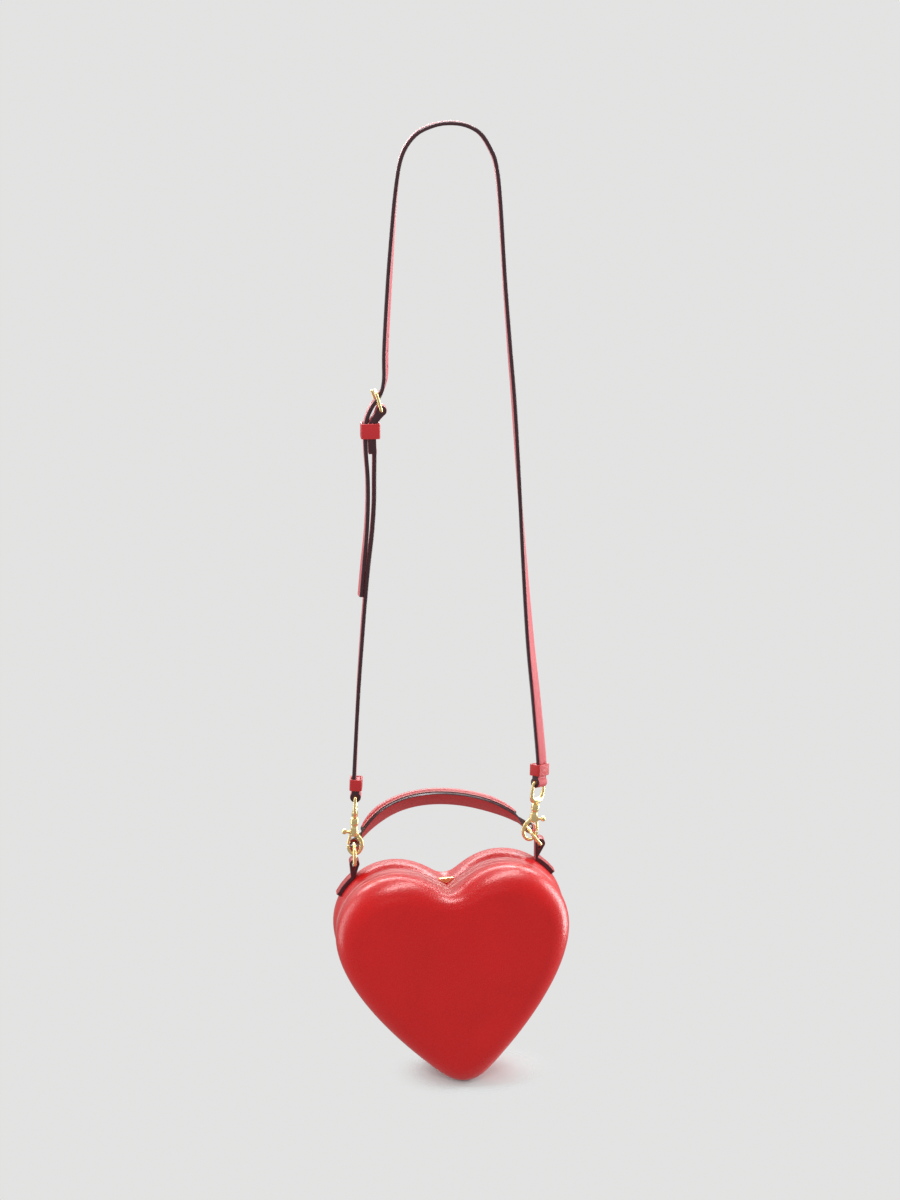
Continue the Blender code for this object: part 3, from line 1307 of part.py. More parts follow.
# The strap runs from the tail up through the buckle, over the top and down to the right hook
fold_mesh, fold_place = end_fold(
    "strap_fold_right", HOOK_RIGHT, 1, EYE_TURN_RIGHT_DEG, RIGHT_FOLD_LEAN_DEG)
fold_low, fold_high = strand_start(fold_place, 1)
long_route = world(below_buckle(TAIL_ROUTE_SHARES) + past_buckle(THROUGH_ROUTE_SHARES), HEEL)
long_route += world(reversed(spread(LEFT_ROUTE_SHARES)))
long_route += world(spread(RIGHT_ROUTE_SHARES)) + [fold_high, fold_low]
long_turns = ((0.0, TAIL_TURN_DEG), (0.10, 0.0), (0.20, 0.0), (0.62, 0.0), (1.0, RIGHT_TURN_DEG))
STRAP_LONG = part("strap_long", strand("strap_long", long_route, long_turns), STRAP_LEATHER, STRAP)
join(STRAP_LONG, "strap_fold_right", fold_mesh, STRAP)
hole_place = Matrix.Translation(HEEL_SPOT + Vector((PRONG_HOLE_PLACE[0], 0.0, PRONG_HOLE_PLACE[1])))
hole_place = hole_place @ Matrix.Rotation(math.radians(PRONG_HOLE_SLOPE_DEG), 4, "Y")
prong_hole = box("prong_hole", (-OVERRUN, -PRONG_HOLE_WIDTH / 2, -PRONG_HOLE_LENGTH / 2),
                 (OVERRUN, PRONG_HOLE_WIDTH / 2, PRONG_HOLE_LENGTH / 2))
prong_hole.transform(hole_place)
cut(STRAP_LONG, "prong_hole", prong_hole, STRAP)
part("end_keeper_right", end_keeper("end_keeper_right", fold_place), STRAP_LEATHER, STRAP)

fold_mesh, fold_place = end_fold(
    "strap_fold_left", HOOK_LEFT, -1, EYE_TURN_LEFT_DEG, LEFT_FOLD_LEAN_DEG)
fold_low, fold_high = strand_start(fold_place, -1)
short_route = past_buckle(SHORT_START_SHARES) + below_buckle(SHORT_ROUTE_SHARES)
short_route = [fold_low, fold_high] + world(reversed(short_route), HEEL)
short_turns = ((0.0, -LEFT_TURN_DEG), (0.5, 0.0), (1.0, 0.0))
STRAP_SHORT = part("strap_short", strand("strap_short", short_route, short_turns), STRAP_LEATHER, STRAP)
join(STRAP_SHORT, "strap_fold_left", fold_mesh, STRAP)
heel_outline, _, _ = looped_band(
    past_buckle(HEEL_FOLD_SHARES), HEEL_FOLD_THICK, (0.0, 0.0), HEEL_LOOP_OUTER)
heel_place = Matrix.Translation(HEEL_SPOT) @ UPRIGHT
heel_fold = plate("heel_fold", (heel_outline, circle(HEEL_LOOP_INNER, 12)), FOLD_WIDTH, 0.0, heel_place)
join(STRAP_SHORT, "heel_fold", heel_fold, STRAP)
heel_room = PRONG_HUB_RADIUS + CLEARANCE
heel_slot = box("heel_slot", (-heel_room * 2, -HEEL_SLOT_WIDTH / 2, -heel_room),
                (heel_room * 2, HEEL_SLOT_WIDTH / 2, heel_room * 2))
heel_slot.transform(Matrix.Translation(HEEL_SPOT))
cut(STRAP_SHORT, "heel_slot", heel_slot, STRAP)
part("end_keeper_left", end_keeper("end_keeper_left", fold_place), STRAP_LEATHER, STRAP)


def buckle():
    place = Matrix.Translation(HEEL_SPOT) @ Matrix.Rotation(math.radians(BUCKLE_LEAN_DEG), 4, "Y")
    half, corner, top = BUCKLE_WIDTH / 2, BUCKLE_CORNER, BUCKLE_LENGTH
    path = []
    for y, z, start in ((half - corner, corner, -90), (half - corner, top - corner, 0),
                        (corner - half, top - corner, 90), (corner - half, corner, 180)):
        path += [(0.0, u, v) for u, v in arc((y, z), corner, start, start + 90, 3)]
    part("buckle_frame", tube("buckle_frame", path, BUCKLE_WIRE, closed=True, matrix=place), GOLD, STRAP)

    prong_axis = joint("prong_axis", HEEL_SPOT, STRAP)
    hub = rod("buckle_prong", "Y", HEEL_SPOT, PRONG_HUB_WIDTH, PRONG_HUB_RADIUS, 16)
    prong = part("buckle_prong", hub, GOLD, prong_axis)
    line = world(((0.0, 0.0), PRONG_BEND, PRONG_TIP), HEEL)
    join(prong, "prong_wire", tube("prong_wire", line, PRONG_WIRE), prong_axis)
    bore = rod("prong_bore", "Y", HEEL_SPOT, OVERRUN, BUCKLE_WIRE + CLEARANCE, 16)
    cut(prong, "prong_bore", bore, prong_axis)

    slide = joint("keeper_slide", HEEL_SPOT - Vector((0.0, 0.0, BUCKLE_KEEPER_DROP)), STRAP)
    sleeve = keeper("buckle_keeper", BUCKLE_KEEPER_SPAN, FOLD_WIDTH / 2 + CLEARANCE,
                    -BUCKLE_KEEPER_DROP, BUCKLE_KEEPER_HEIGHT, Matrix.Translation(HEEL_SPOT))
    part("buckle_keeper", sleeve, STRAP_LEATHER, slide)


buckle()
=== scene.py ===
"""A heart-shaped top handle bag in red calf leather with gold hardware, dressed over the
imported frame. Everything is in metres: +X is the bag's right in front view, +Y its back,
+Z up, and the origin is the top of the shoulder strap."""
import math

import bmesh
import bpy
from mathutils import Matrix, Vector


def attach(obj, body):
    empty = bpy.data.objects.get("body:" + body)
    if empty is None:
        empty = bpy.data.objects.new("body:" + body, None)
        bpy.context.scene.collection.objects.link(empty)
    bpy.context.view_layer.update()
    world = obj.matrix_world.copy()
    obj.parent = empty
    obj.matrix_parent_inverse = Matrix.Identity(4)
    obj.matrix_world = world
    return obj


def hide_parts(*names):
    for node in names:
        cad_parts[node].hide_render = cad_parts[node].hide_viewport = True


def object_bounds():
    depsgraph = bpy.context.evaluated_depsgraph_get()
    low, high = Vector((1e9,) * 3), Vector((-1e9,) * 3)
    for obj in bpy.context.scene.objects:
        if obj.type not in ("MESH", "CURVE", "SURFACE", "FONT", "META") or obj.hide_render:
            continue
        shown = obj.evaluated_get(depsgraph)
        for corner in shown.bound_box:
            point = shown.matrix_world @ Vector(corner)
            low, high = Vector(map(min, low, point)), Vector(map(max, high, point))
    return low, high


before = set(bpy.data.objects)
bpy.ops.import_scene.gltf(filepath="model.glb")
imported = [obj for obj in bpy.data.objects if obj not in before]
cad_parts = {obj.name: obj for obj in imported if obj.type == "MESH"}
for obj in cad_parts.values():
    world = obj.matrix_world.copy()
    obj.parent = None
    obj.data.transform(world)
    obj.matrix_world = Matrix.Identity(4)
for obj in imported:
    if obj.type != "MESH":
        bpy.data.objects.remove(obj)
cad_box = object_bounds()

# Studio: a long lens looks a little down at the bag from its left. Wide lamps hang above and
# behind, tall ones stand at both sides, one lights the front, and two more only shine in the
# polish. The backdrop is pale grey, and gloss mirrors it darker in front and below.
scene = bpy.context.scene
scene.view_settings.view_transform = "Standard"
bpy.ops.object.select_all(action="DESELECT")

view_target = Vector((0.0002, -0.0150, -0.3487))
view_azimuth, view_elevation, view_distance = math.radians(-5), math.radians(13), 2.4
view_from = view_target + view_distance * Vector((
    math.sin(view_azimuth) * math.cos(view_elevation),
    -math.cos(view_azimuth) * math.cos(view_elevation), math.sin(view_elevation)))
bpy.ops.object.camera_add(location=view_from)
camera = bpy.context.object
camera.rotation_euler = (view_target - view_from).to_track_quat("-Z", "Y").to_euler()
camera.data.sensor_fit = "VERTICAL"
camera.data.sensor_height = 36.0
camera.data.lens = 97.44
scene.camera = camera

backdrop_grey = (0.766, 0.766, 0.762, 1.0)
bag_middle = Vector((0.0, 0.0, -0.63))


def softbox(name, place, wide, tall, power):
    bpy.ops.object.light_add(type="AREA", location=place)
    lamp = bpy.context.object
    lamp.name = name
    lamp.visible_camera = False
    lamp.data.shape = "RECTANGLE"
    lamp.data.size, lamp.data.size_y = wide, tall
    lamp.data.energy = power
    lamp.rotation_euler = (bag_middle - Vector(place)).to_track_quat("-Z", "Y").to_euler()
    return lamp


softbox("lamp_above", (0.05, -0.10, 0.75), 1.3, 0.35, 7.0)
softbox("lamp_behind", (0.0, 0.70, 0.15), 1.4, 0.35, 7.0)
softbox("lamp_left", (-1.1, 0.35, -0.45), 0.35, 1.2, 6.0)
softbox("lamp_right", (1.1, 0.35, -0.45), 0.35, 1.2, 17.0)
softbox("lamp_front", (-0.3, -2.0, 0.6), 1.0, 0.8, 19.0).visible_glossy = False
softbox("shine_above", (0.05, -0.06, 0.74), 1.3, 0.24, 17.0).visible_diffuse = False
softbox("shine_behind", (0.0, 0.78, 0.02), 1.4, 0.35, 13.0).visible_diffuse = False


def add_node(tree, kind, links=(), **settings):
    """Adds a node, sets it, and joins or sets its named inputs."""
    made = tree.nodes.new(kind)
    for name, value in settings.items():
        setattr(made, name, value)
    for socket, source in links:
        if isinstance(source, bpy.types.NodeSocket):
            tree.links.new(source, made.inputs[socket])
        else:
            made.inputs[socket].default_value = source
    return made


def maths(tree, operation, *values):
    """A sum over numbers and sockets."""
    return add_node(tree, "ShaderNodeMath", enumerate(values), operation=operation).outputs[0]


def remap(tree, value, start, end, low=0.0, high=1.0, curve="LINEAR"):
    """The value, with start to end stretched over low to high."""
    links = (("Value", value), ("From Min", start), ("From Max", end), ("To Min", low), ("To Max", high))
    return add_node(tree, "ShaderNodeMapRange", links, interpolation_type=curve).outputs[0]


def start_material(name):
    """An empty material and its tree, with object coordinates ready."""
    made = bpy.data.materials.new(name)
    made.use_nodes = True
    made.node_tree.nodes.clear()
    return made, made.node_tree, made.node_tree.nodes.new("ShaderNodeTexCoord").outputs["Object"]


world = bpy.data.worlds.new("studio_world")
scene.world = world
world.use_nodes = True
world.cycles.sampling_method = "NONE"
sky = world.node_tree
sky.nodes.clear()
white = (1.0, 1.0, 1.0, 1.0)
horizon_blur = 0.03
mirror_front_dim, mirror_floor_dim = 0.45, 0.6
front_dim_full, front_dim_none = -0.70, 0.10
light_above, light_below = 0.42, 0.76
rays = add_node(sky, "ShaderNodeLightPath").outputs
seen = maths(sky, "MAXIMUM", rays["Is Camera Ray"], rays["Is Glossy Ray"])
seen = maths(sky, "MAXIMUM", seen, rays["Is Transmission Ray"])
way = add_node(sky, "ShaderNodeTexCoord").outputs["Generated"]
way = add_node(sky, "ShaderNodeSeparateXYZ", (("Vector", way),)).outputs
below = remap(sky, way["Z"], horizon_blur, -horizon_blur)
dim_front = remap(sky, way["Y"], front_dim_full, front_dim_none, mirror_front_dim, 0.0, "SMOOTHSTEP")
dim_front = maths(sky, "MULTIPLY", dim_front, rays["Is Glossy Ray"])
dim_floor = maths(sky, "MULTIPLY", below, rays["Is Glossy Ray"])
dim_floor = maths(sky, "MULTIPLY", dim_floor, mirror_floor_dim)
bright = maths(sky, "SUBTRACT", 1.0, maths(sky, "MAXIMUM", dim_front, dim_floor))
shown = add_node(sky, "ShaderNodeBackground", (("Color", backdrop_grey), ("Strength", bright)))
strength = remap(sky, below, 0.0, 1.0, light_above, light_below)
lighting = add_node(sky, "ShaderNodeBackground", (("Color", white), ("Strength", strength)))
both = add_node(sky, "ShaderNodeMixShader", ((0, seen), (1, lighting.outputs[0]), (2, shown.outputs[0])))
add_node(sky, "ShaderNodeOutputWorld", (("Surface", both.outputs[0]),))

# The studio floor takes light and shade only in a patch round the bag's tip, and is clear
# elsewhere, because the lid opens down past its level.
floor_size, floor_gap = 8.0, 0.0002
tip_offset = (-0.018, 0.012, 0.0)
patch_core, patch_edge = 0.012, 0.070
bpy.ops.mesh.primitive_plane_add(size=floor_size, location=(0.0, 0.0, cad_box[0][2] - floor_gap))
floor = bpy.context.object
floor.name = "studio_floor"
floor_paint, tree, spot = start_material("studio_floor")
centred = add_node(tree, "ShaderNodeVectorMath", ((0, spot), (1, tip_offset)), operation="ADD")
reach = add_node(tree, "ShaderNodeVectorMath", ((0, centred.outputs[0]),), operation="LENGTH")
away = remap(tree, reach.outputs["Value"], patch_core, patch_edge, curve="SMOOTHERSTEP")
lit = add_node(tree, "ShaderNodeBsdfDiffuse", (("Color", (0.62, 0.72, 0.72, 1.0)),))
clear = add_node(tree, "ShaderNodeBsdfTransparent")
surface = add_node(tree, "ShaderNodeMixShader", ((0, away), (1, lit.outputs[0]), (2, clear.outputs[0])))
add_node(tree, "ShaderNodeOutputMaterial", (("Surface", surface.outputs[0]),))
floor.data.materials.append(floor_paint)

# Red calf leather: a fine closed grain that breaks up the gloss, slightly uneven dye, and a
# soft polish. The grain and the dye are shared by every leather piece of the bag.


def new_group(name, inputs, outputs):
    """A shader node group with named sockets, and its inner ends."""
    group = bpy.data.node_groups.new(name, "ShaderNodeTree")
    for label, kind in inputs:
        group.interface.new_socket(name=label, in_out="INPUT", socket_type=kind)
    for label, kind in outputs:
        group.interface.new_socket(name=label, in_out="OUTPUT", socket_type=kind)
    return group, group.nodes.new("NodeGroupInput").outputs, group.nodes.new("NodeGroupOutput").inputs


def noise(tree, spot, scale, detail):
    links = (("Vector", spot), ("Scale", scale), ("Detail", detail))
    return add_node(tree, "ShaderNodeTexNoise", links).outputs["Fac"]


def two_tones(tree, share, first, second):
    """The first colour, and more of the second where the share is higher."""
    first, second = [(*tone, 1.0) if isinstance(tone, tuple) else tone for tone in (first, second)]
    return add_node(tree, "ShaderNodeMix", ((0, share), (6, first), (7, second)), data_type="RGBA").outputs[2]


def relief(tree, height, strength, depth):
    """The surface's normal, with bumps of the given depth."""
    links = (("Height", height), ("Strength", strength), ("Distance", depth))
    return add_node(tree, "ShaderNodeBump", links).outputs[0]


grain_group, given, result = new_group(
    "calf_grain", (("Vector", "NodeSocketVector"), ("Cells", "NodeSocketFloat")),
    (("Height", "NodeSocketFloat"), ("Pores", "NodeSocketFloat")))
drift = add_node(grain_group, "ShaderNodeTexNoise", (("Vector", given["Vector"]), ("Scale", 260.0),
                                                     ("Detail", 2.0)))
drift = add_node(grain_group, "ShaderNodeVectorMath", ((0, drift.outputs["Color"]), (1, (0.5, 0.5, 0.5))),
                 operation="SUBTRACT")
drift = add_node(grain_group, "ShaderNodeVectorMath", ((0, drift.outputs[0]), ("Scale", 0.0014)),
                 operation="SCALE")
drifted = add_node(grain_group, "ShaderNodeVectorMath", ((0, given["Vector"]), (1, drift.outputs[0])),
                   operation="ADD").outputs[0]
pebbles = add_node(grain_group, "ShaderNodeTexVoronoi", (("Vector", drifted), ("Scale", given["Cells"])),
                   feature="SMOOTH_F1")
domes = remap(grain_group, pebbles.outputs["Distance"], 0.15, 0.75, 1.0, 0.0, "SMOOTHSTEP")
pores = noise(grain_group, drifted, maths(grain_group, "MULTIPLY", given["Cells"], 2.6), 2.0)
height = add_node(grain_group, "ShaderNodeMix", ((0, 0.30), (2, domes), (3, pores)))
grain_group.links.new(height.outputs[0], result["Height"])
grain_group.links.new(domes, result["Pores"])

dye_group, given, result = new_group(
    "uneven_dye", (("Vector", "NodeSocketVector"), ("Light", "NodeSocketColor"), ("Dark", "NodeSocketColor")),
    (("Color", "NodeSocketColor"), ("Clouds", "NodeSocketFloat")))
clouds = noise(dye_group, given["Vector"], 26.0, 4.0)
flecks = noise(dye_group, given["Vector"], 420.0, 3.0)
blend = add_node(dye_group, "ShaderNodeMix", ((0, 0.35), (2, clouds), (3, flecks)))
share = remap(dye_group, blend.outputs[0], 0.32, 0.68)
dye_group.links.new(two_tones(dye_group, share, given["Dark"], given["Light"]), result["Color"])
dye_group.links.new(share, result["Clouds"])


def grain_and_dye(tree, spot, light, dark, cells):
    """Both groups, at a leather's own colours and number of pebbles."""
    grain = add_node(tree, "ShaderNodeGroup", node_tree=grain_group,
                     links=(("Vector", spot), ("Cells", cells)))
    dye = add_node(tree, "ShaderNodeGroup", node_tree=dye_group, links=(
        ("Vector", spot), ("Light", (*light, 1.0)), ("Dark", (*dark, 1.0))))
    return grain.outputs, dye.outputs


def end_material(tree, colour, rough, normal, **plain):
    """The Principled shader, with what changes over the surface joined to it."""
    shader = add_node(tree, "ShaderNodeBsdfPrincipled", (("Base Color", colour), ("Roughness", rough),
                                                         ("Normal", normal)))
    for socket, value in plain.items():
        shader.inputs[socket.replace("_", " ")].default_value = value
    add_node(tree, "ShaderNodeOutputMaterial", (("Surface", shader.outputs[0]),))


def leather(name, light, dark, cells=1150.0, rough=(0.26, 0.40), sheen=0.03, coat=0.12):
    """Calf whose pebbles take the lower roughness and whose pores take the higher one."""
    made, tree, spot = start_material(name)
    grain, dye = grain_and_dye(tree, spot, light, dark, cells)
    gloss = remap(tree, grain["Pores"], 0.0, 1.0, rough[1], rough[0])
    end_material(tree, dye["Color"], gloss, relief(tree, grain["Height"], 0.80, 0.00010), Sheen_Weight=sheen,
                 Sheen_Roughness=0.35, Coat_Weight=coat, Coat_Roughness=0.22, Specular_IOR_Level=0.38)
    return made


red_calf = leather("red_calf", (0.590, 0.0045, 0.0048), (0.520, 0.0032, 0.0036))

# Moulded halves: each is one skin of calf pressed over a board former, deepest round the
# shoulders and nearly flat in front. They tuck in to a groove beside the middle band.
bag_place = Matrix.Translation((0.0103, -0.0150, -0.7152)) @ Matrix.Rotation(math.radians(-4.75), 4, "Y")
heart_wide, heart_tall = 0.172, 0.161
seam_y = 0.0068
calf_thick = 0.0012
groove_wide, groove_deep = 0.0012, 0.0004
front_swell, rear_swell, least_swell = 0.0018, 0.0016, 0.0010
front_wall, rear_wall = 0.013, 0.0175
front_shoulder, rear_shoulder = 0.017, 0.0125
face_inset, face_dome, crown_angle = 0.017, 0.0035, 70
shoulder_angles = (10, 20, 30, 40, 50, 60, 69, 77, 84)
face_shares = (0.90, 0.76, 0.60, 0.44, 0.28, 0.12)
degrees_per_pass, face_passes = 6, 6
cleft_half = 0.020
lobe_curves = (
    ((0.0, 0.895), (0.14, 0.942), (0.29, 1.0), (0.47, 1.0)),
    ((0.47, 1.0), (0.76, 1.0), (1.0, 0.87), (1.0, 0.715)),
    ((1.0, 0.715), (0.984, 0.50), (0.578, 0.235), (0.20, 0.048)),
    ((0.20, 0.048), (0.13, 0.0153), (0.075, 0.0), (0.0, 0.0)))
lobe_steps = (8, 11, 15, 6)


def heart_line():
    """The heart's outline at the seams, from the cleft round the right lobe and back."""
    right = []
    for (a, b, c, d), count in zip(lobe_curves, lobe_steps):
        for i in range(count):
            t = i / count
            u = 1.0 - t
            spot = [a[k] * u ** 3 + 3 * b[k] * u * u * t + 3 * c[k] * u * t * t + d[k] * t ** 3
                    for k in (0, 1)]
            right.append(Vector((spot[0] * heart_wide / 2, spot[1] * heart_tall)))
    return right + [Vector((0.0, 0.0))] + [Vector((-spot.x, spot.y)) for spot in reversed(right[1:])]


def outward(points):
    """Outward directions at the corners of an outline that runs clockwise."""
    found = []
    for i, point in enumerate(points):
        before = (point - points[i - 1]).normalized()
        after = (points[(i + 1) % len(points)] - point).normalized()
        first, second = Vector((-before.y, before.x)), Vector((-after.y, after.x))
        found.append((first + second) / (1.0 + first.dot(second)))
    return found


heart = heart_line()
heart_out = outward(heart)
cleft_z = heart[0].y
face_centre = Vector((0.0, 0.60 * heart_tall))


def swelling(point, out, top):
    """The halves swell most over the top, least at the sides and not in the cleft."""
    swell = least_swell + (top - least_swell) * max(0.0, out.y)
    if point.y > cleft_z - cleft_half:
        swell *= min(1.0, abs(point.x) / cleft_half)
    return swell


def relaxed(points, passes):
    """The outline with its corners eased, as leather bridges them away from the seam."""
    for _ in range(passes):
        points = [points[i - 1] / 4 + point / 2 + points[(i + 1) % len(points)] / 4
                  for i, point in enumerate(points)]
    return points


def moulded_rings(side, layer):
    """Outlines from the seam to the face with their depths, for a skin so far inside."""
    rear = side > 0
    top, wall = (rear_swell, rear_wall) if rear else (front_swell, front_wall)
    shoulder = (rear_shoulder if rear else front_shoulder) - layer
    bridging = 0 if layer else 1
    rings = []
    stations = [(0.0, 0.0), (groove_wide, 0.0)]
    for i in (1, 2, 3, 4):
        stations.append((groove_wide + (wall / 2 - groove_wide) * i / 4, math.sin(math.pi / 8 * i)))
    stations += [(wall * 0.75, 1.0), (wall, 1.0)]
    for depth, swell in stations:
        rings.append([(p + n * (swell * swelling(p, n, top) - groove_deep * (1.0 - swell) - layer), depth)
                      for p, n in zip(heart, heart_out)])
    for angle in shoulder_angles:
        turn = math.radians(angle)
        line = relaxed([p + n * (swelling(p, n, top) - layer - (face_inset - layer) * (1.0 - math.cos(turn)))
                        for p, n in zip(heart, heart_out)], bridging * (angle // degrees_per_pass))
        rings.append([(p, wall + shoulder * math.sin(turn)) for p in line])
    edge = [p for p, _ in rings[-1]]
    crown = wall + shoulder * math.sin(math.radians(crown_angle)) + face_dome
    rise = crown - rings[-1][0][1]
    for share in face_shares:
        edge = relaxed(edge, face_passes * bridging)
        fall = share * share * share if rear else share * share
        rings.append([(face_centre + (p - face_centre) * share, crown - rise * fall) for p in edge])
    return rings, crown


def take(piece):
    """Makes one piece the only one selected."""
    bpy.ops.object.select_all(action="DESELECT")
    piece.select_set(True)
    bpy.context.view_layer.objects.active = piece


def apply_all(piece):
    take(piece)
    for modifier in list(piece.modifiers):
        bpy.ops.object.modifier_apply(modifier=modifier.name)


def new_piece(name, build, place=None):
    """A piece whose mesh is built in bmesh and put in its place."""
    mesh = bpy.data.meshes.new(name)
    shape = bmesh.new()
    build(shape)
    shape.to_mesh(mesh)
    shape.free()
    if place is not None:
        mesh.transform(place)
    piece = bpy.data.objects.new(name, mesh)
    scene.collection.objects.link(piece)
    return piece


def smooth(piece, degrees=40):
    take(piece)
    bpy.ops.object.shade_smooth_by_angle(angle=math.radians(degrees))


def moulded(name, side, layer, thickness):
    """A moulded skin: rings from the seam to the face, closed to its middle and thickened."""
    rings, crown = moulded_rings(side, layer)

    def build(shape):
        rows = [[shape.verts.new((p.x, side * (seam_y + depth), p.y)) for p, depth in ring] for ring in rings]
        peak = shape.verts.new((face_centre.x, side * (seam_y + crown), face_centre.y))
        count = len(heart)
        for low, high in zip(rows, rows[1:]):
            for i in range(count):
                j = (i + 1) % count
                shape.faces.new((low[i], low[j], high[j], high[i])[::-side])
        for i in range(count):
            shape.faces.new((rows[-1][i], rows[-1][(i + 1) % count], peak)[::-side])

    piece = new_piece(name, build, bag_place)
    wall = piece.modifiers.new("wall", "SOLIDIFY")
    wall.thickness = thickness
    wall.offset = -1.0
    wall.use_even_offset = True
    soft = piece.modifiers.new("soft", "SUBSURF")
    soft.levels = soft.render_levels = 1
    apply_all(piece)
    smooth(piece, 60)
    return piece


def dress(piece, finish, body, slot, *nodes):
    """Finishes the piece, rides it on its body and replaces CAD nodes; the slot is not used."""
    if finish:
        piece.data.materials.append(finish)
    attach(piece, body)
    if nodes:
        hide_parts(*nodes)


def cut_out(piece, cutter):
    """Takes the cutter's shape out of the piece and removes the cutter."""
    take(piece)
    opening = piece.modifiers.new("opening", "BOOLEAN")
    opening.operation = "DIFFERENCE"
    opening.solver = "EXACT"
    opening.object = cutter
    bpy.ops.object.modifier_apply(modifier="opening")
    bpy.data.objects.remove(cutter)


def block(name, low, high, place=None, rounding=0.0):
    """A block between two corners, with rounded edges where rounding is given."""
    size = Vector(high) - Vector(low)
    bpy.ops.mesh.primitive_cube_add(size=1.0)
    piece = bpy.context.object
    piece.name = name
    piece.data.transform(Matrix.Translation((Vector(low) + Vector(high)) / 2) @ Matrix.Diagonal((*size, 1.0)))
    if rounding:
        soft = piece.modifiers.new("rounding", "BEVEL")
        soft.width = rounding
        soft.segments = 3
        apply_all(piece)
        smooth(piece)
    if place is not None:
        piece.data.transform(place)
    return piece


def cut_clasp_slot(piece):
    """Opens the rear half in the cleft for the clasp's stem."""
    cut_out(piece, block("clasp_slot", (-slot_half, slot_near, cleft_z - slot_below),
                         (slot_half, slot_far, cleft_z + slot_above), bag_place))


slot_half, slot_near, slot_far = 0.0018, 0.0076, 0.0126
slot_below, slot_above = 0.0085, 0.004
halves = ((-1, "front", "lid"), (1, "rear", "bag"))
for side, word, body in halves:
    cover = moulded(word + "_leather", side, 0.0, calf_thick)
    if side > 0:
        cut_clasp_slot(cover)
    dress(cover, red_calf, body, "red_leather", word + "_cover")

# Suede lining: one soft napped shell inside each half, glued to the board and seen when the
# lid is open.
lining_inside, suede_thick = 0.0042, 0.0009
suede, tree, spot = start_material("suede_lining")
nap = noise(tree, spot, 1900.0, 3.0)
tone = two_tones(tree, noise(tree, spot, 60.0, 3.0), (0.255, 0.040, 0.044), (0.340, 0.062, 0.066))
end_material(tree, tone, 0.92, relief(tree, nap, 0.5, 0.0002), Sheen_Weight=0.6, Sheen_Roughness=0.5)
for side, word, body in halves:
    lining = moulded(word + "_suede", side, lining_inside, suede_thick)
    if side > 0:
        cut_clasp_slot(lining)
    dress(lining, suede, body, "lining_suede", word + "_lining")

# Formers: hard pressed board between leather and lining, which gives each half its shape and
# is seen only as a thin edge.


def flecked(name, scale, detail, dark, light, rough, bumps, **plain):
    """A material of one noise, which mixes two tones and makes the bumps, and where rough
    is a pair, the gloss too."""
    made, tree, spot = start_material(name)
    flecks = noise(tree, spot, scale, detail)
    if isinstance(rough, tuple):
        rough = remap(tree, flecks, 0.0, 1.0, *rough)
    end_material(tree, two_tones(tree, flecks, dark, light), rough, relief(tree, flecks, *bumps), **plain)
    return made


def repaint(finish, *nodes):
    """Gives carried-over CAD nodes a finish."""
    for node in nodes:
        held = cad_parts[node]
        held.data.materials.clear()
        held.data.materials.append(finish)


board = flecked("former_board", 700.0, 4.0, (0.46, 0.42, 0.35), (0.62, 0.57, 0.49), 0.85, (0.4, 0.0002))
repaint(board, "front_former", "rear_former")

# Middle band: each half ends in a hard rim wrapped in calf, with a pale painted highlight along
# its rounded edges. The two rims meet at the parting line and carry the hinge and the clasp.
highlight_start, highlight_full = 0.0055, 0.0059
parting_y, parting_wide, parting_full = 0.0007, 0.0004, 0.0001
band_calf, tree, spot = start_material("band_calf")
grain, dye = grain_and_dye(tree, spot, (0.560, 0.024, 0.025), (0.480, 0.016, 0.018), 1250.0)
along_y = add_node(tree, "ShaderNodeSeparateXYZ", (("Vector", spot),)).outputs["Y"]
from_middle = maths(tree, "ABSOLUTE", maths(tree, "ADD", along_y, -bag_place.translation.y))
from_parting = maths(tree, "ABSOLUTE", maths(tree, "SUBTRACT", from_middle, parting_y))
# Painted highlight: pale lines along the band's outer edges and a fainter one along the parting line, mottled
# by the dye's clouds.
outer_highlight = remap(tree, from_middle, highlight_start, highlight_full, curve="SMOOTHSTEP")
parting_highlight = remap(tree, from_parting, parting_wide, parting_full, 0.0, 0.60, "SMOOTHSTEP")
painted_highlight = maths(tree, "MAXIMUM", outer_highlight, parting_highlight)
painted_highlight = maths(tree, "MULTIPLY", painted_highlight, remap(tree, dye["Clouds"], 0.0, 1.0, 0.60, 0.95))
gloss = remap(tree, grain["Pores"], 0.0, 1.0, 0.44, 0.30)
end_material(tree, two_tones(tree, painted_highlight, dye["Color"], (0.88, 0.40, 0.36)), gloss,
             relief(tree, grain["Height"], 0.5, 0.00009), Sheen_Weight=0.05, Sheen_Roughness=0.35,
             Coat_Weight=0.15, Coat_Roughness=0.25)
band_outside, band_inside = 0.0010, 0.0062
band_near, band_far, band_deep, band_rounding = 0.00015, 0.0065, 0.00635, 0.0012
boss_half, boss_low, boss_high, boss_rounding = 0.009, 0.0085, 0.0030, 0.0005
hinge_drop, hinge_room_long, hinge_room_radius = 0.0010, 0.0114, 0.0018
leaf_half, leaf_room_deep, leaf_room_low, leaf_room_high = 0.0048, 0.00115, 0.005, 0.0045
overrun = 0.004


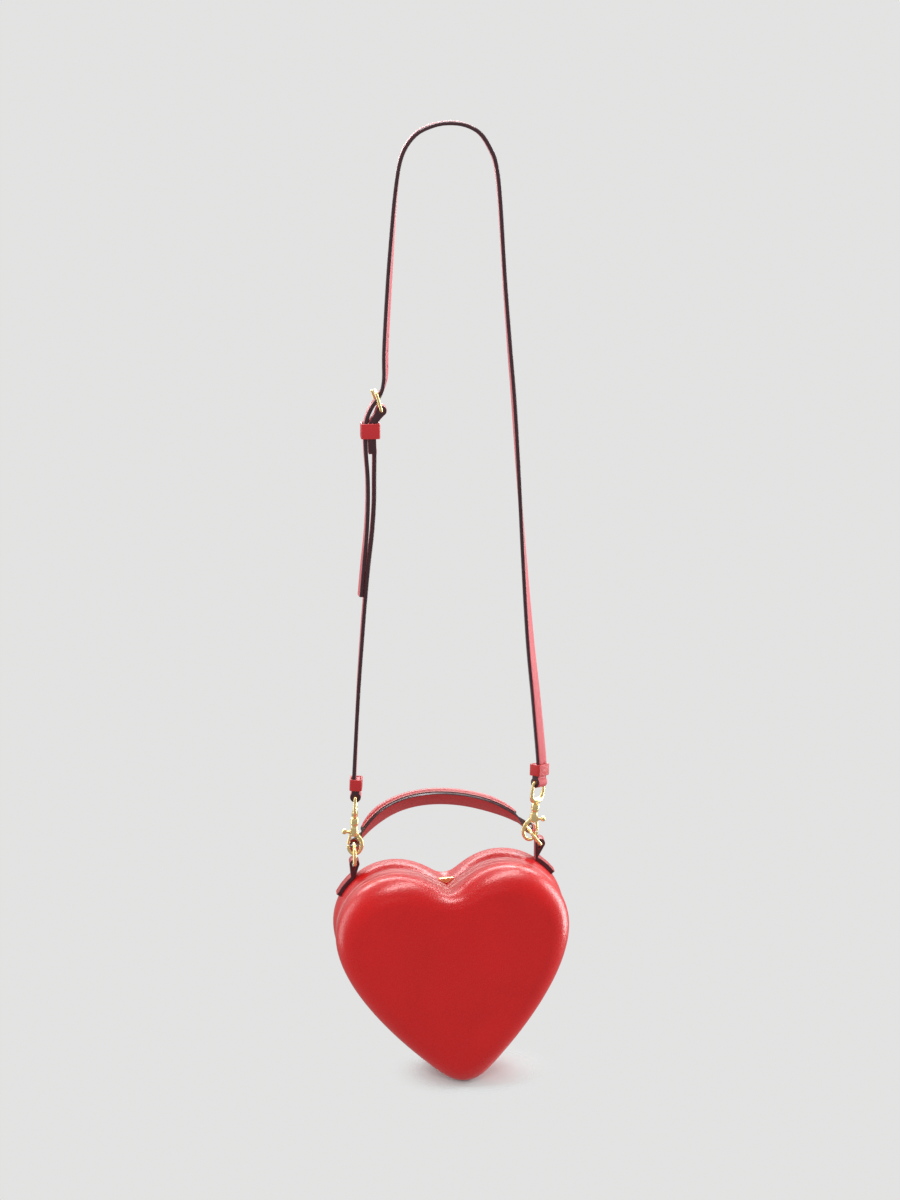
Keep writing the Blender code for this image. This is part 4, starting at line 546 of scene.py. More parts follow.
def sheet_shape(name, loops, thickness, rounding, place):
    """A flat sheet cut to outlines that lie in x and y, with rounded edges, and placed."""
    curve = bpy.data.curves.new(name, "CURVE")
    curve.dimensions = "2D"
    curve.fill_mode = "BOTH"
    for loop in loops:
        spline = curve.splines.new("POLY")
        spline.points.add(len(loop) - 1)
        for point, (x, y) in zip(spline.points, loop):
            point.co = (x, y, 0.0, 1.0)
        spline.use_cyclic_u = True
    curve.extrude = thickness / 2 - rounding
    curve.bevel_depth = rounding
    curve.offset = -rounding
    curve.bevel_resolution = 3
    piece = bpy.data.objects.new(name, curve)
    scene.collection.objects.link(piece)
    take(piece)
    bpy.ops.object.convert(target="MESH")
    piece = bpy.context.object
    take(piece)
    bpy.ops.object.mode_set(mode="EDIT")
    bpy.ops.mesh.select_all(action="SELECT")
    bpy.ops.mesh.remove_doubles(threshold=0.00001)
    bpy.ops.mesh.normals_make_consistent(inside=False)
    bpy.ops.object.mode_set(mode="OBJECT")
    piece.data.transform(place)
    smooth(piece)
    return piece


def upright(y):
    """Stands a sheet drawn in x and z at depth y of the bag."""
    return Matrix.Translation((0.0, y, 0.0)) @ Matrix.Rotation(math.radians(90), 4, "X")


def rod(name, axis, centre, length, radius, place=None):
    turn = {"X": Matrix.Rotation(math.radians(90), 4, "Y"), "Y": Matrix.Rotation(math.radians(90), 4, "X"),
            "Z": Matrix.Identity(4)}[axis]
    bpy.ops.mesh.primitive_cylinder_add(vertices=32, radius=radius, depth=length)
    piece = bpy.context.object
    piece.name = name
    piece.data.transform(Matrix.Translation(centre) @ turn)
    if place is not None:
        piece.data.transform(place)
    smooth(piece)
    return piece


def join_pieces(piece, *others):
    """Joins other pieces into one object that keeps its parts' own surfaces."""
    take(piece)
    for other in others:
        other.select_set(True)
    bpy.ops.object.join()
    return piece


for side, word, body in halves:
    outer = [p + n * band_outside for p, n in zip(heart, heart_out)]
    inner = [p - n * band_inside for p, n in zip(heart, heart_out)]
    band = sheet_shape(word + "_band", (outer, inner), band_deep, band_rounding,
                       bag_place @ upright(side * (band_near + band_far) / 2))
    near, far = sorted((side * band_near, side * band_far))
    boss = block(word + "_boss", (-boss_half, near, cleft_z - boss_low),
                 (boss_half, far, cleft_z - boss_high), bag_place, boss_rounding)
    cut_out(band, rod("barrel_room", "X", (0.0, 0.0, -hinge_drop), hinge_room_long, hinge_room_radius,
                      bag_place))
    near, far = sorted((-side * overrun, side * leaf_room_deep))
    cut_out(band, block("leaf_room", (-leaf_half, near, -leaf_room_low), (leaf_half, far, leaf_room_high),
                        bag_place))
    join_pieces(band, boss)
    dress(band, band_calf, body, "red_leather", word + "_rim")

# Gold hardware: brass, plated and polished, with faint hairlines and fingerprints. The pins
# and leaves of the hinge, the clasp and the hooks are gold as well, and their springs steel.
gold, tree, spot = start_material("polished_gold")
drawn = add_node(tree, "ShaderNodeMapping", (("Vector", spot), ("Scale", (1.0, 1.0, 0.06))))
hairlines = noise(tree, drawn.outputs[0], 5200.0, 2.0)
smudges = noise(tree, spot, 240.0, 3.0)
tone = two_tones(tree, smudges, (0.93, 0.68, 0.27), (1.0, 0.82, 0.44))
gloss = remap(tree, smudges, 0.3, 0.75, 0.14, 0.30)
end_material(tree, tone, gloss, relief(tree, hairlines, 0.12, 0.00003), Metallic=0.82)
steel = flecked("spring_steel", 900.0, 3.0, (0.50, 0.50, 0.50), (0.66, 0.66, 0.65), 0.28, (0.1, 0.00003),
                Metallic=1.0)
repaint(gold, "hinge_leaf_front", "hinge_leaf_rear", "hinge_pin", "latch_bracket", "latch_pin",
        "strike_plate", "gate_pin_left", "gate_pin_right")
repaint(steel, "latch_spring", "gate_spring_left", "gate_spring_right")

# Clasp: a cross bar with a wedge below it stands in the cleft on a thin stem. Pressed, the
# stem turns on its pin and the hooked arm lets the lid's catch go.
stem_y, pivot_z = 0.0101, cleft_z - 0.0136
stem_half, stem_sink, hub_radius, pin_room = 0.0010, 0.0006, 0.0021, 0.0009
arm_end, arm_deep, hook_wide, hook_rise = stem_y - 0.0159, 0.0018, 0.0010, 0.0007
bar_low, bar_half = cleft_z + 0.0042, 0.0053
bar_top, wedge_tip = bar_low + 0.0012, cleft_z + 0.0012
lever_thick, lever_rounding = 0.0026, 0.00018
head_y, head_deep, head_rounding = 0.0092, 0.0032, 0.00032
sideways = Matrix(((0.0, 0.0, 1.0, 0.0), (1.0, 0.0, 0.0, 0.0), (0.0, 1.0, 0.0, 0.0), (0.0, 0.0, 0.0, 1.0)))


def arc(centre, radius, start_deg, end_deg, steps):
    points = []
    for i in range(steps + 1):
        turn = math.radians(start_deg + (end_deg - start_deg) * i / steps)
        points.append((centre[0] + radius * math.cos(turn), centre[1] + radius * math.sin(turn)))
    return points


def circle(centre, radius):
    return arc(centre, radius, 0, 345, 23)


side_view = [(arm_end, pivot_z + hook_rise), (arm_end, pivot_z - arm_deep)]
side_view += arc((stem_y, pivot_z), hub_radius, -121, 61, 18)
side_view += [(stem_y + stem_half, bar_low + stem_sink), (stem_y - stem_half, bar_low + stem_sink),
              (stem_y - stem_half, pivot_z + hub_radius), (stem_y - stem_half - hub_radius, pivot_z),
              (arm_end + hook_wide, pivot_z), (arm_end + hook_wide, pivot_z + hook_rise)]
clasp = sheet_shape("clasp_lever", (side_view, circle((stem_y, pivot_z), pin_room)), lever_thick,
                    lever_rounding, bag_place @ sideways)
head_view = [(-bar_half, bar_top), (bar_half, bar_top), (bar_half, bar_low), (0.0, wedge_tip),
             (-bar_half, bar_low)]
join_pieces(clasp, sheet_shape("clasp_head", (head_view,), head_deep, head_rounding,
                               bag_place @ upright(head_y)))
dress(clasp, gold, "latch", "polished_gold", "latch_lever")

# Edge paint and thread: every cut leather edge is sealed with a thick dark plum paint that
# beads a little proud and catches a thin line of light. Waxed thread sews tabs and handle.
cut_edge = 0.60
thread_radius = 0.00028
edge_paint = flecked("edge_paint", 520.0, 2.0, (0.022, 0.006, 0.009), (0.060, 0.014, 0.021),
                     (0.26, 0.42), (0.35, 0.00012), Coat_Weight=0.3, Coat_Roughness=0.2)
thread = flecked("waxed_thread", 2600.0, 2.0, (0.42, 0.030, 0.040), (0.60, 0.080, 0.090),
                 0.55, (0.6, 0.00012), Sheen_Weight=0.3)


def paint_edges(piece, leather_finish, along):
    """Leather on the faces of a strip and paint on its cut edges, which face along."""
    piece.data.materials.clear()
    piece.data.materials.append(leather_finish)
    piece.data.materials.append(edge_paint)
    for face in piece.data.polygons:
        face.material_index = 1 if abs(face.normal.dot(along)) > cut_edge else 0


def sew(name, spots):
    """A row of stitches, each a small waxed grain lying from one spot to the next."""
    def build(shape):
        for start, end in spots:
            way = end - start
            turn = way.to_track_quat("Z", "Y").to_matrix().to_4x4()
            size = Matrix.Diagonal((thread_radius, thread_radius, way.length / 2, 1.0))
            bmesh.ops.create_uvsphere(shape, u_segments=6, v_segments=4, radius=1.0,
                                      matrix=Matrix.Translation((start + end) / 2) @ turn @ size)

    piece = new_piece(name, build)
    smooth(piece, 80)
    return piece


def stitch_row(points, pitch, length):
    """Ends of the stitches along a line of points."""
    spots, gone, wanted = [], 0.0, pitch / 2
    for a, b in zip(points, points[1:]):
        span = (b - a).length
        while wanted <= gone + span:
            middle = a.lerp(b, (wanted - gone) / span)
            way = (b - a).normalized() * length / 2
            spots.append((middle - way, middle + way))
            wanted += pitch
        gone += span
    return spots


# Ring tabs: a strip of calf is folded round each D-ring's bar and sewn down along the rear
# shoulder. Seen from the front it shows its thick painted edge.
tab_y, tab_wide, tab_low, tab_high, tab_steps = 0.020, 0.011, 0.1400, 0.1514, 14
tab_ply, glue_gap = 0.0019, 0.0003
tab_rounding, tab_open, tab_eye_open = 0.00045, 115, 120
tab_stitch_y, tab_pitch, tab_stitch = 0.0040, 0.0026, 0.0019
ring_bars = {"left": (-0.0677, 0.1658), "right": (0.0740, 0.1667)}
bar_room, loop_mouth = 0.0019, 0.0052


def shoulder_strip(side, offset):
    """A line along one shoulder of the heart, raised off the seam's outline."""
    points = []
    for step in range(tab_steps + 1):
        z = tab_low + (tab_high - tab_low) * step / tab_steps
        for i, point in enumerate(heart):
            after = heart[(i + 1) % len(heart)]
            if (point.x * side <= 0 or max(abs(point.x), abs(after.x)) <= heart_wide / 4
                    or (point.y - z) * (after.y - z) > 0):
                continue
            share = (z - point.y) / (after.y - point.y)
            out = heart_out[i].lerp(heart_out[(i + 1) % len(heart)], share)
            points.append(point.lerp(after, share) + out * offset)
            break
    return points


def ribbon(points, thickness):
    """The outline of a strip of even thickness along a line."""
    left, right = [], []
    last = len(points) - 1
    for i, point in enumerate(points):
        before = Vector(points[i]) - Vector(points[max(i - 1, 0)])
        after = Vector(points[min(i + 1, last)]) - Vector(points[i])
        before = (before if before.length else after).normalized()
        after = (after if after.length else before).normalized()
        first, second = Vector((-before.y, before.x)), Vector((-after.y, after.x))
        across = (first + second) / (1.0 + first.dot(second)) * (thickness / 2)
        left.append(tuple(Vector(point) + across))
        right.append(tuple(Vector(point) - across))
    return left, right


tab_calf = leather("tab_calf", (0.47, 0.016, 0.018), (0.39, 0.011, 0.013), 1300.0)
for side, word in ((-1, "left"), (1, "right")):
    bar = ring_bars[word]
    strip = shoulder_strip(side, rear_swell + glue_gap + tab_ply)
    toward = (Vector(bar) - strip[-1]).normalized()
    heading = math.degrees(math.atan2(toward.y, toward.x))
    left, right = ribbon(strip, tab_ply * 2)
    outline = left + arc(bar, tab_ply * 2, heading + tab_open, heading - tab_open, 24) + right[::-1]
    eye = arc(bar, bar_room, heading + tab_eye_open, heading - tab_eye_open, 16)
    eye.append(tuple(Vector(bar) - toward * loop_mouth))
    tab = sheet_shape("ring_tab_" + word, (outline, eye), tab_wide, tab_rounding, bag_place @ upright(tab_y))
    paint_edges(tab, tab_calf, Vector((0.0, 1.0, 0.0)))
    dress(tab, None, "bag", "red_leather", "tab_" + word)
    over = shoulder_strip(side, rear_swell + glue_gap + tab_ply * 2)
    near, far = tab_y - tab_stitch_y, tab_y + tab_stitch_y
    rows = [[bag_place @ Vector((p.x, y, p.y)) for p in over] for y in (near, far)]
    rows.append([bag_place @ Vector((over[0].x, y, over[0].y)) for y in (near, far)])
    stitches = [stitch for row in rows for stitch in stitch_row(row, tab_pitch, tab_stitch)]
    dress(sew("tab_stitches_" + word, stitches), thread, "bag", "red_leather")

# D-rings: polished wire bent to a D, its straight bar held in the tab and its bow through
# the handle's loop and the hook.
ring_wire, bow_radius, ring_corner, ring_leg = 0.0014, 0.0090, 0.0022, 0.0051
ring_straight = bow_radius - ring_corner
ring_leans = {"left": math.radians(4.75), "right": math.radians(-34.0)}
ring_frames = {word: Matrix.Translation((x, tab_y, z)) @ Matrix.Rotation(ring_leans[word], 4, "Y")
               for word, (x, z) in ring_bars.items()}


def wire(name, points, radius, closed=False, radii=None, place=None, fineness=5):
    """Round wire bent along points."""
    curve = bpy.data.curves.new(name, "CURVE")
    curve.dimensions = "3D"
    spline = curve.splines.new("POLY")
    spline.points.add(len(points) - 1)
    for i, (point, spot) in enumerate(zip(spline.points, points)):
        point.co = (*spot, 1.0)
        point.radius = radii[i] / radius if radii else 1.0
    spline.use_cyclic_u = closed
    curve.bevel_depth = radius
    curve.bevel_resolution = fineness
    curve.use_fill_caps = not closed
    piece = bpy.data.objects.new(name, curve)
    scene.collection.objects.link(piece)
    take(piece)
    bpy.ops.object.convert(target="MESH")
    piece = bpy.context.object
    if place is not None:
        piece.data.transform(place)
    smooth(piece, 50)
    return piece


for word, ring_frame in ring_frames.items():
    path = [(0.0, ring_straight * share, 0.0) for share in (-1.0, -0.5, 0.0, 0.5, 1.0)]
    path += [(0.0, y, z) for y, z in arc((ring_straight, ring_corner), ring_corner, -75, 0, 5)]
    path += [(0.0, y, z) for y, z in arc((0.0, ring_leg), bow_radius, 0, 180, 36)]
    path += [(0.0, y, z) for y, z in arc((-ring_straight, ring_corner), ring_corner, 180, 255, 5)]
    ring = wire("ring_" + word, path, ring_wire, closed=True, place=bag_place @ ring_frame)
    dress(ring, gold, "ring_" + word, "polished_gold", "d_ring_" + word)

# Top handle: two plies sewn along both edges over a padded core. The upper ply domes over
# the padding, and the lower one ends in loops round the D-rings. It lies in a plane that
# leans back from the line through both rings.
handle_wide, handle_end_wide, handle_thick = 0.019, 0.0090, 0.0018
handle_tilt, handle_rise, handle_sway = math.radians(40), 0.0400, 0.0076
taper_from, slope_from, slope_over = 0.50, 0.855, 0.080
loop_outer, loop_inner, loop_sink, loop_open = 0.0043, 0.0030, 0.0005, 140
ply_gap = 0.0002
arch_steps, loop_steps = 60, 4
ring_middles = {word: ring_frame @ Vector((0.0, 0.0, ring_leg)) for word, ring_frame in ring_frames.items()}
along = (ring_middles["right"] - ring_middles["left"]).normalized()
lift = Matrix.Rotation(-handle_tilt, 4, along) @ Vector((0.0, 0.0, 1.0))
lift = (lift - along * lift.dot(along)).normalized()
across = along.cross(lift).normalized()
handle_frame = (Matrix.Translation((ring_middles["left"] + ring_middles["right"]) / 2)
                @ Matrix((along, lift, across)).transposed().to_4x4())
arch_place = bag_place @ handle_frame


def ring_hold(word):
    """Where a ring's wire crosses the handle's plane, found by halving, and its slope there."""
    back, ring_frame = handle_frame.inverted(), ring_frames[word]
    low, high = 0.0, math.pi / 2
    for _ in range(40):
        turn = (low + high) / 2
        side, up = (bow_radius - loop_sink) * math.sin(turn), (bow_radius - loop_sink) * math.cos(turn)
        flat = back @ (ring_frame @ Vector((0.0, side, ring_leg + up)))
        low, high = (turn, high) if flat.z * across.y < 0 else (low, turn)
    slope = back.to_3x3() @ ring_frame.to_3x3() @ Vector((0.0, math.cos(turn), -math.sin(turn)))
    return Vector((flat.x, flat.y)), Vector((slope.x / slope.z, slope.y / slope.z))


(hold_left, slope_left), (hold_right, slope_right) = ring_hold("left"), ring_hold("right")
arch_span = (hold_right - hold_left).length
arch_rise = handle_rise - (hold_left.y + hold_right.y) / 2
arch_radius = ((arch_span / 2) ** 2 + arch_rise ** 2) / (arch_rise * 2)
arch_centre = (hold_left + hold_right) / 2 + Vector((0.0, arch_rise - arch_radius))
arch_left = math.atan2(hold_left.y - arch_centre.y, hold_left.x - arch_centre.x)
arch_right = math.atan2(hold_right.y - arch_centre.y, hold_right.x - arch_centre.x)
arch_middle, arch_half = (arch_left + arch_right) / 2, (arch_left - arch_right) / 2
ply_radius = arch_radius + handle_thick / 2 + ply_gap


def shape_handle(mesh):
    """Narrows the ends and turns the loops with the wires they hold."""
    for vertex in mesh.vertices:
        x, y, z = vertex.co
        turn = math.atan2(y - arch_centre.y, x - arch_centre.x)
        share = min(1.0, abs(turn - arch_middle) / arch_half)
        taper = max(0.0, (share - taper_from) / (1.0 - taper_from))
        taper = taper * taper * (3.0 - taper * 2.0)
        depth = z * (1.0 + (handle_end_wide / handle_wide - 1.0) * taper)
        ease = min(1.0, max(0.0, (abs(x) / (arch_span / 2) - slope_from) / slope_over))
        slope = (slope_right if x > 0 else slope_left) * ease
        sway = handle_sway * (1.0 - share * share) ** 2
        vertex.co = (x + slope.x * depth - sway, y + slope.y * depth, depth)
    mesh.transform(arch_place)


def on_arch(radius, turn):
    return arch_centre.x + radius * math.cos(turn), arch_centre.y + radius * math.sin(turn)


arch_line = [on_arch(arch_radius, arch_left + (arch_right - arch_left) * i / arch_steps)
             for i in range(arch_steps + 1)]
outer, inner = ribbon(arch_line[loop_steps:-loop_steps], handle_thick)
heading_right, heading_left = math.degrees(arch_right) - 90, math.degrees(arch_left) + 90
outline = outer + arc(arch_line[-1], loop_outer, heading_right + loop_open, heading_right - loop_open, 26)
outline += inner[::-1]
outline += arc(arch_line[0], loop_outer, heading_left + loop_open, heading_left - loop_open, 26)
eyes = [circle(spot, loop_inner) for spot in (arch_line[-1], arch_line[0])]
handle_calf = leather("handle_calf", (0.46, 0.020, 0.024), (0.38, 0.013, 0.016), 1200.0,
                      rough=(0.36, 0.50), coat=0.05)
# A pale calf that paints the highlight line along the handle's flange corners.
painted_highlight_edge = leather("painted_highlight_edge", (0.72, 0.26, 0.25), (0.58, 0.14, 0.14), 1200.0)
under = sheet_shape("handle_under", (outline, *eyes), handle_wide, 0.00030, Matrix.Identity(4))
shape_handle(under.data)
smooth(under)
paint_edges(under, handle_calf, (arch_place.to_3x3() @ Vector((0.0, 0.0, 1.0))).normalized())
dress(under, None, "handle", "red_leather", "handle_lining")


def skin(name, rings):
    """A closed skin over rings of equal length, with filled ends."""
    def build(shape):
        rows = [[shape.verts.new(spot) for spot in ring] for ring in rings]
        count = len(rows[0])
        for low, high in zip(rows, rows[1:]):
            for i in range(count):
                shape.faces.new((low[i], low[(i + 1) % count], high[(i + 1) % count], high[i]))
        shape.faces.new(rows[0][::-1])
        shape.faces.new(rows[-1])
        bmesh.ops.recalc_face_normals(shape, faces=shape.faces)

    return new_piece(name, build)


def handle_ply(name, section, end_share, steps):
    """Lays a section along the handle: each point is a share of the width and a height."""
    rings = []
    for i in range(steps + 1):
        way = (i / steps * 2.0 - 1.0) * end_share
        rings.append([(*on_arch(ply_radius + height, arch_middle - arch_half * way), wide * handle_wide / 2)
                      for wide, height in section(abs(way) / end_share)])
    ply = skin(name, rings)
    shape_handle(ply.data)
    smooth(ply)
    return ply


upper_steps, flange, upper_dome, upper_end, upper_fade = 64, 0.0012, 0.0056, 0.81, 0.60
dome_half, dome_fullness, dome_steps, end_dome = 0.74, 0.8, 12, 0.35


def fading(share, start):
    """A dome's share of its height: whole up to the start, then falling to the ends."""
    fall = max(0.0, (share - start) / (1.0 - start))
    return end_dome + (1.0 - end_dome) * (1.0 - fall * fall)


def upper_ply(share):
    """Flat flanges at both edges with a dome between them."""
    dome = upper_dome * fading(share, upper_fade)
    side = [(-0.985, 0.0), (-1.0, 0.0002), (-1.0, 0.0006), (-1.0, flange - 0.0002), (-0.975, flange),
            (-0.93, flange), (-0.82, flange)]
    arch = [(dome_half * math.cos(turn), flange + dome * max(0.0, math.sin(turn)) ** dome_fullness)
            for turn in (math.pi - math.pi * i / dome_steps for i in range(dome_steps + 1))]
    return side + arch + [(-x, height) for x, height in reversed(side)]


upper = handle_ply("handle_upper", upper_ply, upper_end, upper_steps)
for finish in (handle_calf, edge_paint, painted_highlight_edge):
    upper.data.materials.append(finish)
around = len(upper_ply(0.0))
# The upper ply's flange corners take the pale calf as a painted highlight line.
painted, painted_highlight_pale = (0, 1, around - 3, around - 2), (2, 3, 4, around - 6, around - 5, around - 4)
for k, face in enumerate(upper.data.polygons):
    if k >= upper_steps * around or k % around in painted:
        face.material_index = 1
    else:
        face.material_index = 2 if k % around in painted_highlight_pale else 0
dress(upper, None, "handle", "red_leather", "handle_top")

handle_felt = flecked("handle_felt", 1500.0, 4.0, (0.66, 0.64, 0.60), (0.80, 0.78, 0.74), 0.95, (0.6, 0.0003),
                      Sheen_Weight=0.4)
core_half, core_thick, core_end, core_fade, core_steps = 0.52, 0.0026, 0.70, 0.55, 40


def core_section(share):
    """A low half round, thinner towards the ends."""
    dome = core_thick * fading(share, core_fade)
    return [(-core_half, ply_gap), (core_half, ply_gap)] + [
        (core_half * math.cos(turn), ply_gap + dome * math.sin(turn))
        for turn in (math.pi * i / dome_steps for i in range(1, dome_steps))]


dress(handle_ply("handle_padding", core_section, core_end, core_steps), handle_felt, "handle", "padding",
      "handle_core")

stitches = []
seam_share, seam_end, seam_steps = 0.90, 0.79, 80
handle_pitch, handle_stitch = 0.0030, 0.0022
for wide in (-seam_share, seam_share):
    turns = [arch_middle - arch_half * (i / seam_steps * 2.0 - 1.0) * seam_end
             for i in range(seam_steps + 1)]
    line = [(*on_arch(ply_radius + flange, turn), wide * handle_wide / 2) for turn in turns]
    holder = bpy.data.meshes.new("stitch_line")
    holder.from_pydata(line, [], [])
    shape_handle(holder)
    stitches += stitch_row([vertex.co.copy() for vertex in holder.vertices], handle_pitch, handle_stitch)
    bpy.data.meshes.remove(holder)
dress(sew("handle_stitches", stitches), thread, "handle", "red_leather")

# Swivel hooks: a cast body runs down into a round hook, a sprung gate with a knob closes
# it, and a D-shaped eye turns in the collar at its top.
body_side, collar_top, swivel_gap, eye_rise = 0.0012, 0.0286, 0.0003, 0.0170
shank_profile = [(0.0016, 0.0140), (0.0022, 0.0144), (0.0027, 0.0149), (0.0028, 0.0154), (0.0028, 0.0202),
                 (0.0027, 0.0208), (0.0024, 0.0215), (0.0024, 0.0229), (0.0026, 0.0233), (0.0029, 0.0237),
                 (0.0030, 0.0242), (0.0030, 0.0280), (0.0028, 0.0284), (0.0024, collar_top)]
bend_half_wide, bend_half_tall, bend_steps = 0.0052, 0.0072, 40
eye_wire, eye_corner = 0.0011, 0.0015
eye_low, eye_top = collar_top + swivel_gap, collar_top + swivel_gap + eye_rise
# Across, up and wire radius, at each station of the eye's side and each arm of the gate.
eye_sides = ((0.0, 0.0, 0.0024), (0.0021, 0.0, 0.0024), (0.0035, 0.0003, 0.0022),
             (0.0047, 0.0010, 0.0020), (0.0056, 0.0021, 0.0017), (0.0062, 0.0034, 0.0015),
             (0.0065, 0.0053, 0.0013), (0.0066, 0.0072, 0.0012))
post_bore_radius, post_bore_long = 0.0015, 0.0084
head_room_radius, head_room_z, head_room_tall = 0.0021, 0.0243, 0.0016
slot_in, slot_out, slot_half_deep, slot_low, slot_high = 0.0013, 0.0093, 0.00155, 0.0105, 0.0213
neck_line, neck_radius = ((-0.0002, 0.0200), (-0.0004, 0.0182), (-0.0009, 0.0158)), 0.0015
bend_wire, bend_nominal, bend_start, bend_sweep = 0.0016, 0.00125, -150, 236
bend_first_thinning, bend_last_thinning = 0.00035, 0.00015
gate_pivot, gate_deep, gate_hub, gate_pin_room = (0.0034, 0.0168), 0.0025, 0.0018, 0.0009
gate_arms = ((0.0052, 0.0079, 0.0011), (0.0078, 0.01745, 0.0010))
gate_wire_start = 0.0013
knob_spot, knob_radius, knob_flat = (0.0085, 0.0176), 0.0022, 0.9
hub_profile = ((0.0016, 0.0), (0.0019, 0.0002), (0.0019, 0.0012))
post_profile = ((0.0018, -0.0051), (0.0018, -0.0041), (0.0012, -0.0040), (0.0012, 0.0004))
# Each hook's side, its offset from the ring's middle, its lean and its eye's turn in degrees.
hook_hang = {"left": (-1, (0.0, -0.0050, 0.0028), 3, 84), "right": (1, (-0.0056, -0.0050, -0.0008), 8, 45)}


def lathe(name, profile, place):
    """A turned body: a disc is drawn up and widened from one station to the next."""
    first_radius, first_height = profile[0]
    bpy.ops.mesh.primitive_circle_add(vertices=40, radius=first_radius, fill_type="NGON",
                                      location=(0.0, 0.0, first_height))
    piece = bpy.context.object
    piece.name = name
    bpy.ops.object.transform_apply(location=True, rotation=False, scale=False)
    bpy.ops.object.mode_set(mode="EDIT")
    bpy.ops.mesh.select_all(action="SELECT")
    radius, level = first_radius, first_height
    for next_radius, next_level in profile[1:]:
        bpy.ops.mesh.extrude_region_move(TRANSFORM_OT_translate={"value": (0.0, 0.0, next_level - level)})
        scale = next_radius / radius
        bpy.ops.transform.resize(value=(scale, scale, 1.0), center_override=(0.0, 0.0, next_level))
        radius, level = next_radius, next_level
    bpy.ops.mesh.select_all(action="SELECT")
    bpy.ops.mesh.normals_make_consistent(inside=False)
    bpy.ops.object.mode_set(mode="OBJECT")
    piece.data.transform(place)
    smooth(piece, 35)
    return piece


hook_places = {}
for word, (side, off_ring, lean, eye_turn) in hook_hang.items():
    place = (Matrix.Translation(bag_place @ ring_middles[word] + Vector(off_ring))
             @ Matrix.Rotation(math.radians(lean), 4, "Y"))
    hook_places[word] = place
    shift = place @ Matrix.Translation((side * body_side, 0.0, 0.0))
    body = lathe("hook_shank_" + word, shank_profile, shift)
    cut_out(body, rod("post_bore", "Z", (0.0, 0.0, collar_top), post_bore_long, post_bore_radius, shift))
    cut_out(body, rod("head_room", "Z", (0.0, 0.0, head_room_z), head_room_tall, head_room_radius, shift))
    low, high = sorted((side * slot_in, side * slot_out))
    cut_out(body, block("gate_slot", (low, -slot_half_deep, slot_low), (high, slot_half_deep, slot_high),
                        place))
    points = [(side * x, 0.0, z) for x, z in neck_line]
    radii = [neck_radius, bend_wire, bend_wire]
    for i in range(bend_steps + 1):
        share = i / bend_steps
        turn = math.radians(bend_start + bend_sweep * share)
        points.append((side * bend_half_wide * math.sin(turn), 0.0, bend_half_tall * (1.0 - math.cos(turn))))
        thinning = bend_first_thinning * min(1.0, share * 2)
        radii.append(bend_wire - thinning - bend_last_thinning * max(0.0, share * 2 - 1.0))
    join_pieces(body, wire("hook_bend", points, bend_nominal, radii=radii, place=place, fineness=6))
    dress(body, gold, "hook_" + word, "polished_gold", "hook_body_" + word)

    pivot = Vector((side * gate_pivot[0], 0.0, gate_pivot[1]))
    gate = rod("gate_arm_" + word, "Y", pivot, gate_deep, gate_hub, place)
    cut_out(gate, rod("pin_bore", "Y", pivot, gate_deep + overrun, gate_pin_room, place))
    for x, z, radius in gate_arms:
        end = Vector((side * x, 0.0, z))
        start = pivot + (end - pivot).normalized() * gate_wire_start
        join_pieces(gate, wire("gate_wire", [start, end], radius, place=place))
    bpy.ops.mesh.primitive_uv_sphere_add(segments=24, ring_count=14, radius=knob_radius)
    knob = bpy.context.object
    knob.data.transform(place @ Matrix.Translation((side * knob_spot[0], 0.0, knob_spot[1]))
                        @ Matrix.Diagonal((knob_flat, 1.0, 1.0, 1.0)))
    smooth(knob, 60)
    join_pieces(gate, knob)
    dress(gate, gold, "gate_" + word, "polished_gold", "hook_gate_" + word)

    turned = shift @ Matrix.Rotation(math.radians(eye_turn), 4, "Z")
    path = [(x, 0.0, eye_low + eye_sides[0][2] + rise) for x, rise, _ in eye_sides]
    corner = arc((eye_sides[-1][0] - eye_corner, eye_top - eye_corner), eye_corner, 0, 90, 6)
    path += [(x, 0.0, z) for x, z in corner]
    radii = [thick for _, _, thick in eye_sides] + [eye_wire] * len(corner)
    path += [(-x, y, z) for x, y, z in reversed(path[1:])]
    radii += radii[:0:-1]
    eye = wire("strap_eye_" + word, path, eye_wire, closed=True, radii=radii, place=turned)
    for name, profile in (("eye_hub", hub_profile), ("eye_post", post_profile)):
        join_pieces(eye, lathe(name, [(radius, eye_low + rise) for radius, rise in profile], turned))
    dress(eye, gold, "strap", "polished_gold", "swivel_eye_" + word)

# Shoulder strap: two plies of calf glued and edge-painted, 10 mm wide. Its ends fold round
# the hooks' eyes under a keeper, and the short strand ends in the buckle.
strap_wide, strap_thick, strap_round, strap_crown = 0.010, 0.0030, 0.0009, 1.02
strap_spread, strap_drop = 0.0700, 0.4945
heel = Vector((-0.704 * strap_spread, 0.0, -0.421 * strap_drop))
fold_thick, fold_wide, fold_length, fold_overlap = 0.0060, 0.0102, 0.0135, 0.0030
fold_round, fold_loop, fold_room, fold_start, fold_end = 0.0005, 0.0041, 0.0015, 135, 405
fold_leans = {"left": 2.0, "right": -3.5}
route_step, heel_step, prong_step = 0.004, 0.0015, 0.001
# The strap's calf is its own red with a painted reflection of grazing light mixed in, so it is paler and
# pinker than the body's.
strap_calf = leather("strap_calf", (0.56, 0.075, 0.090), (0.48, 0.050, 0.064), 1300.0,
                     rough=(0.50, 0.64), sheen=0.10, coat=0.0)


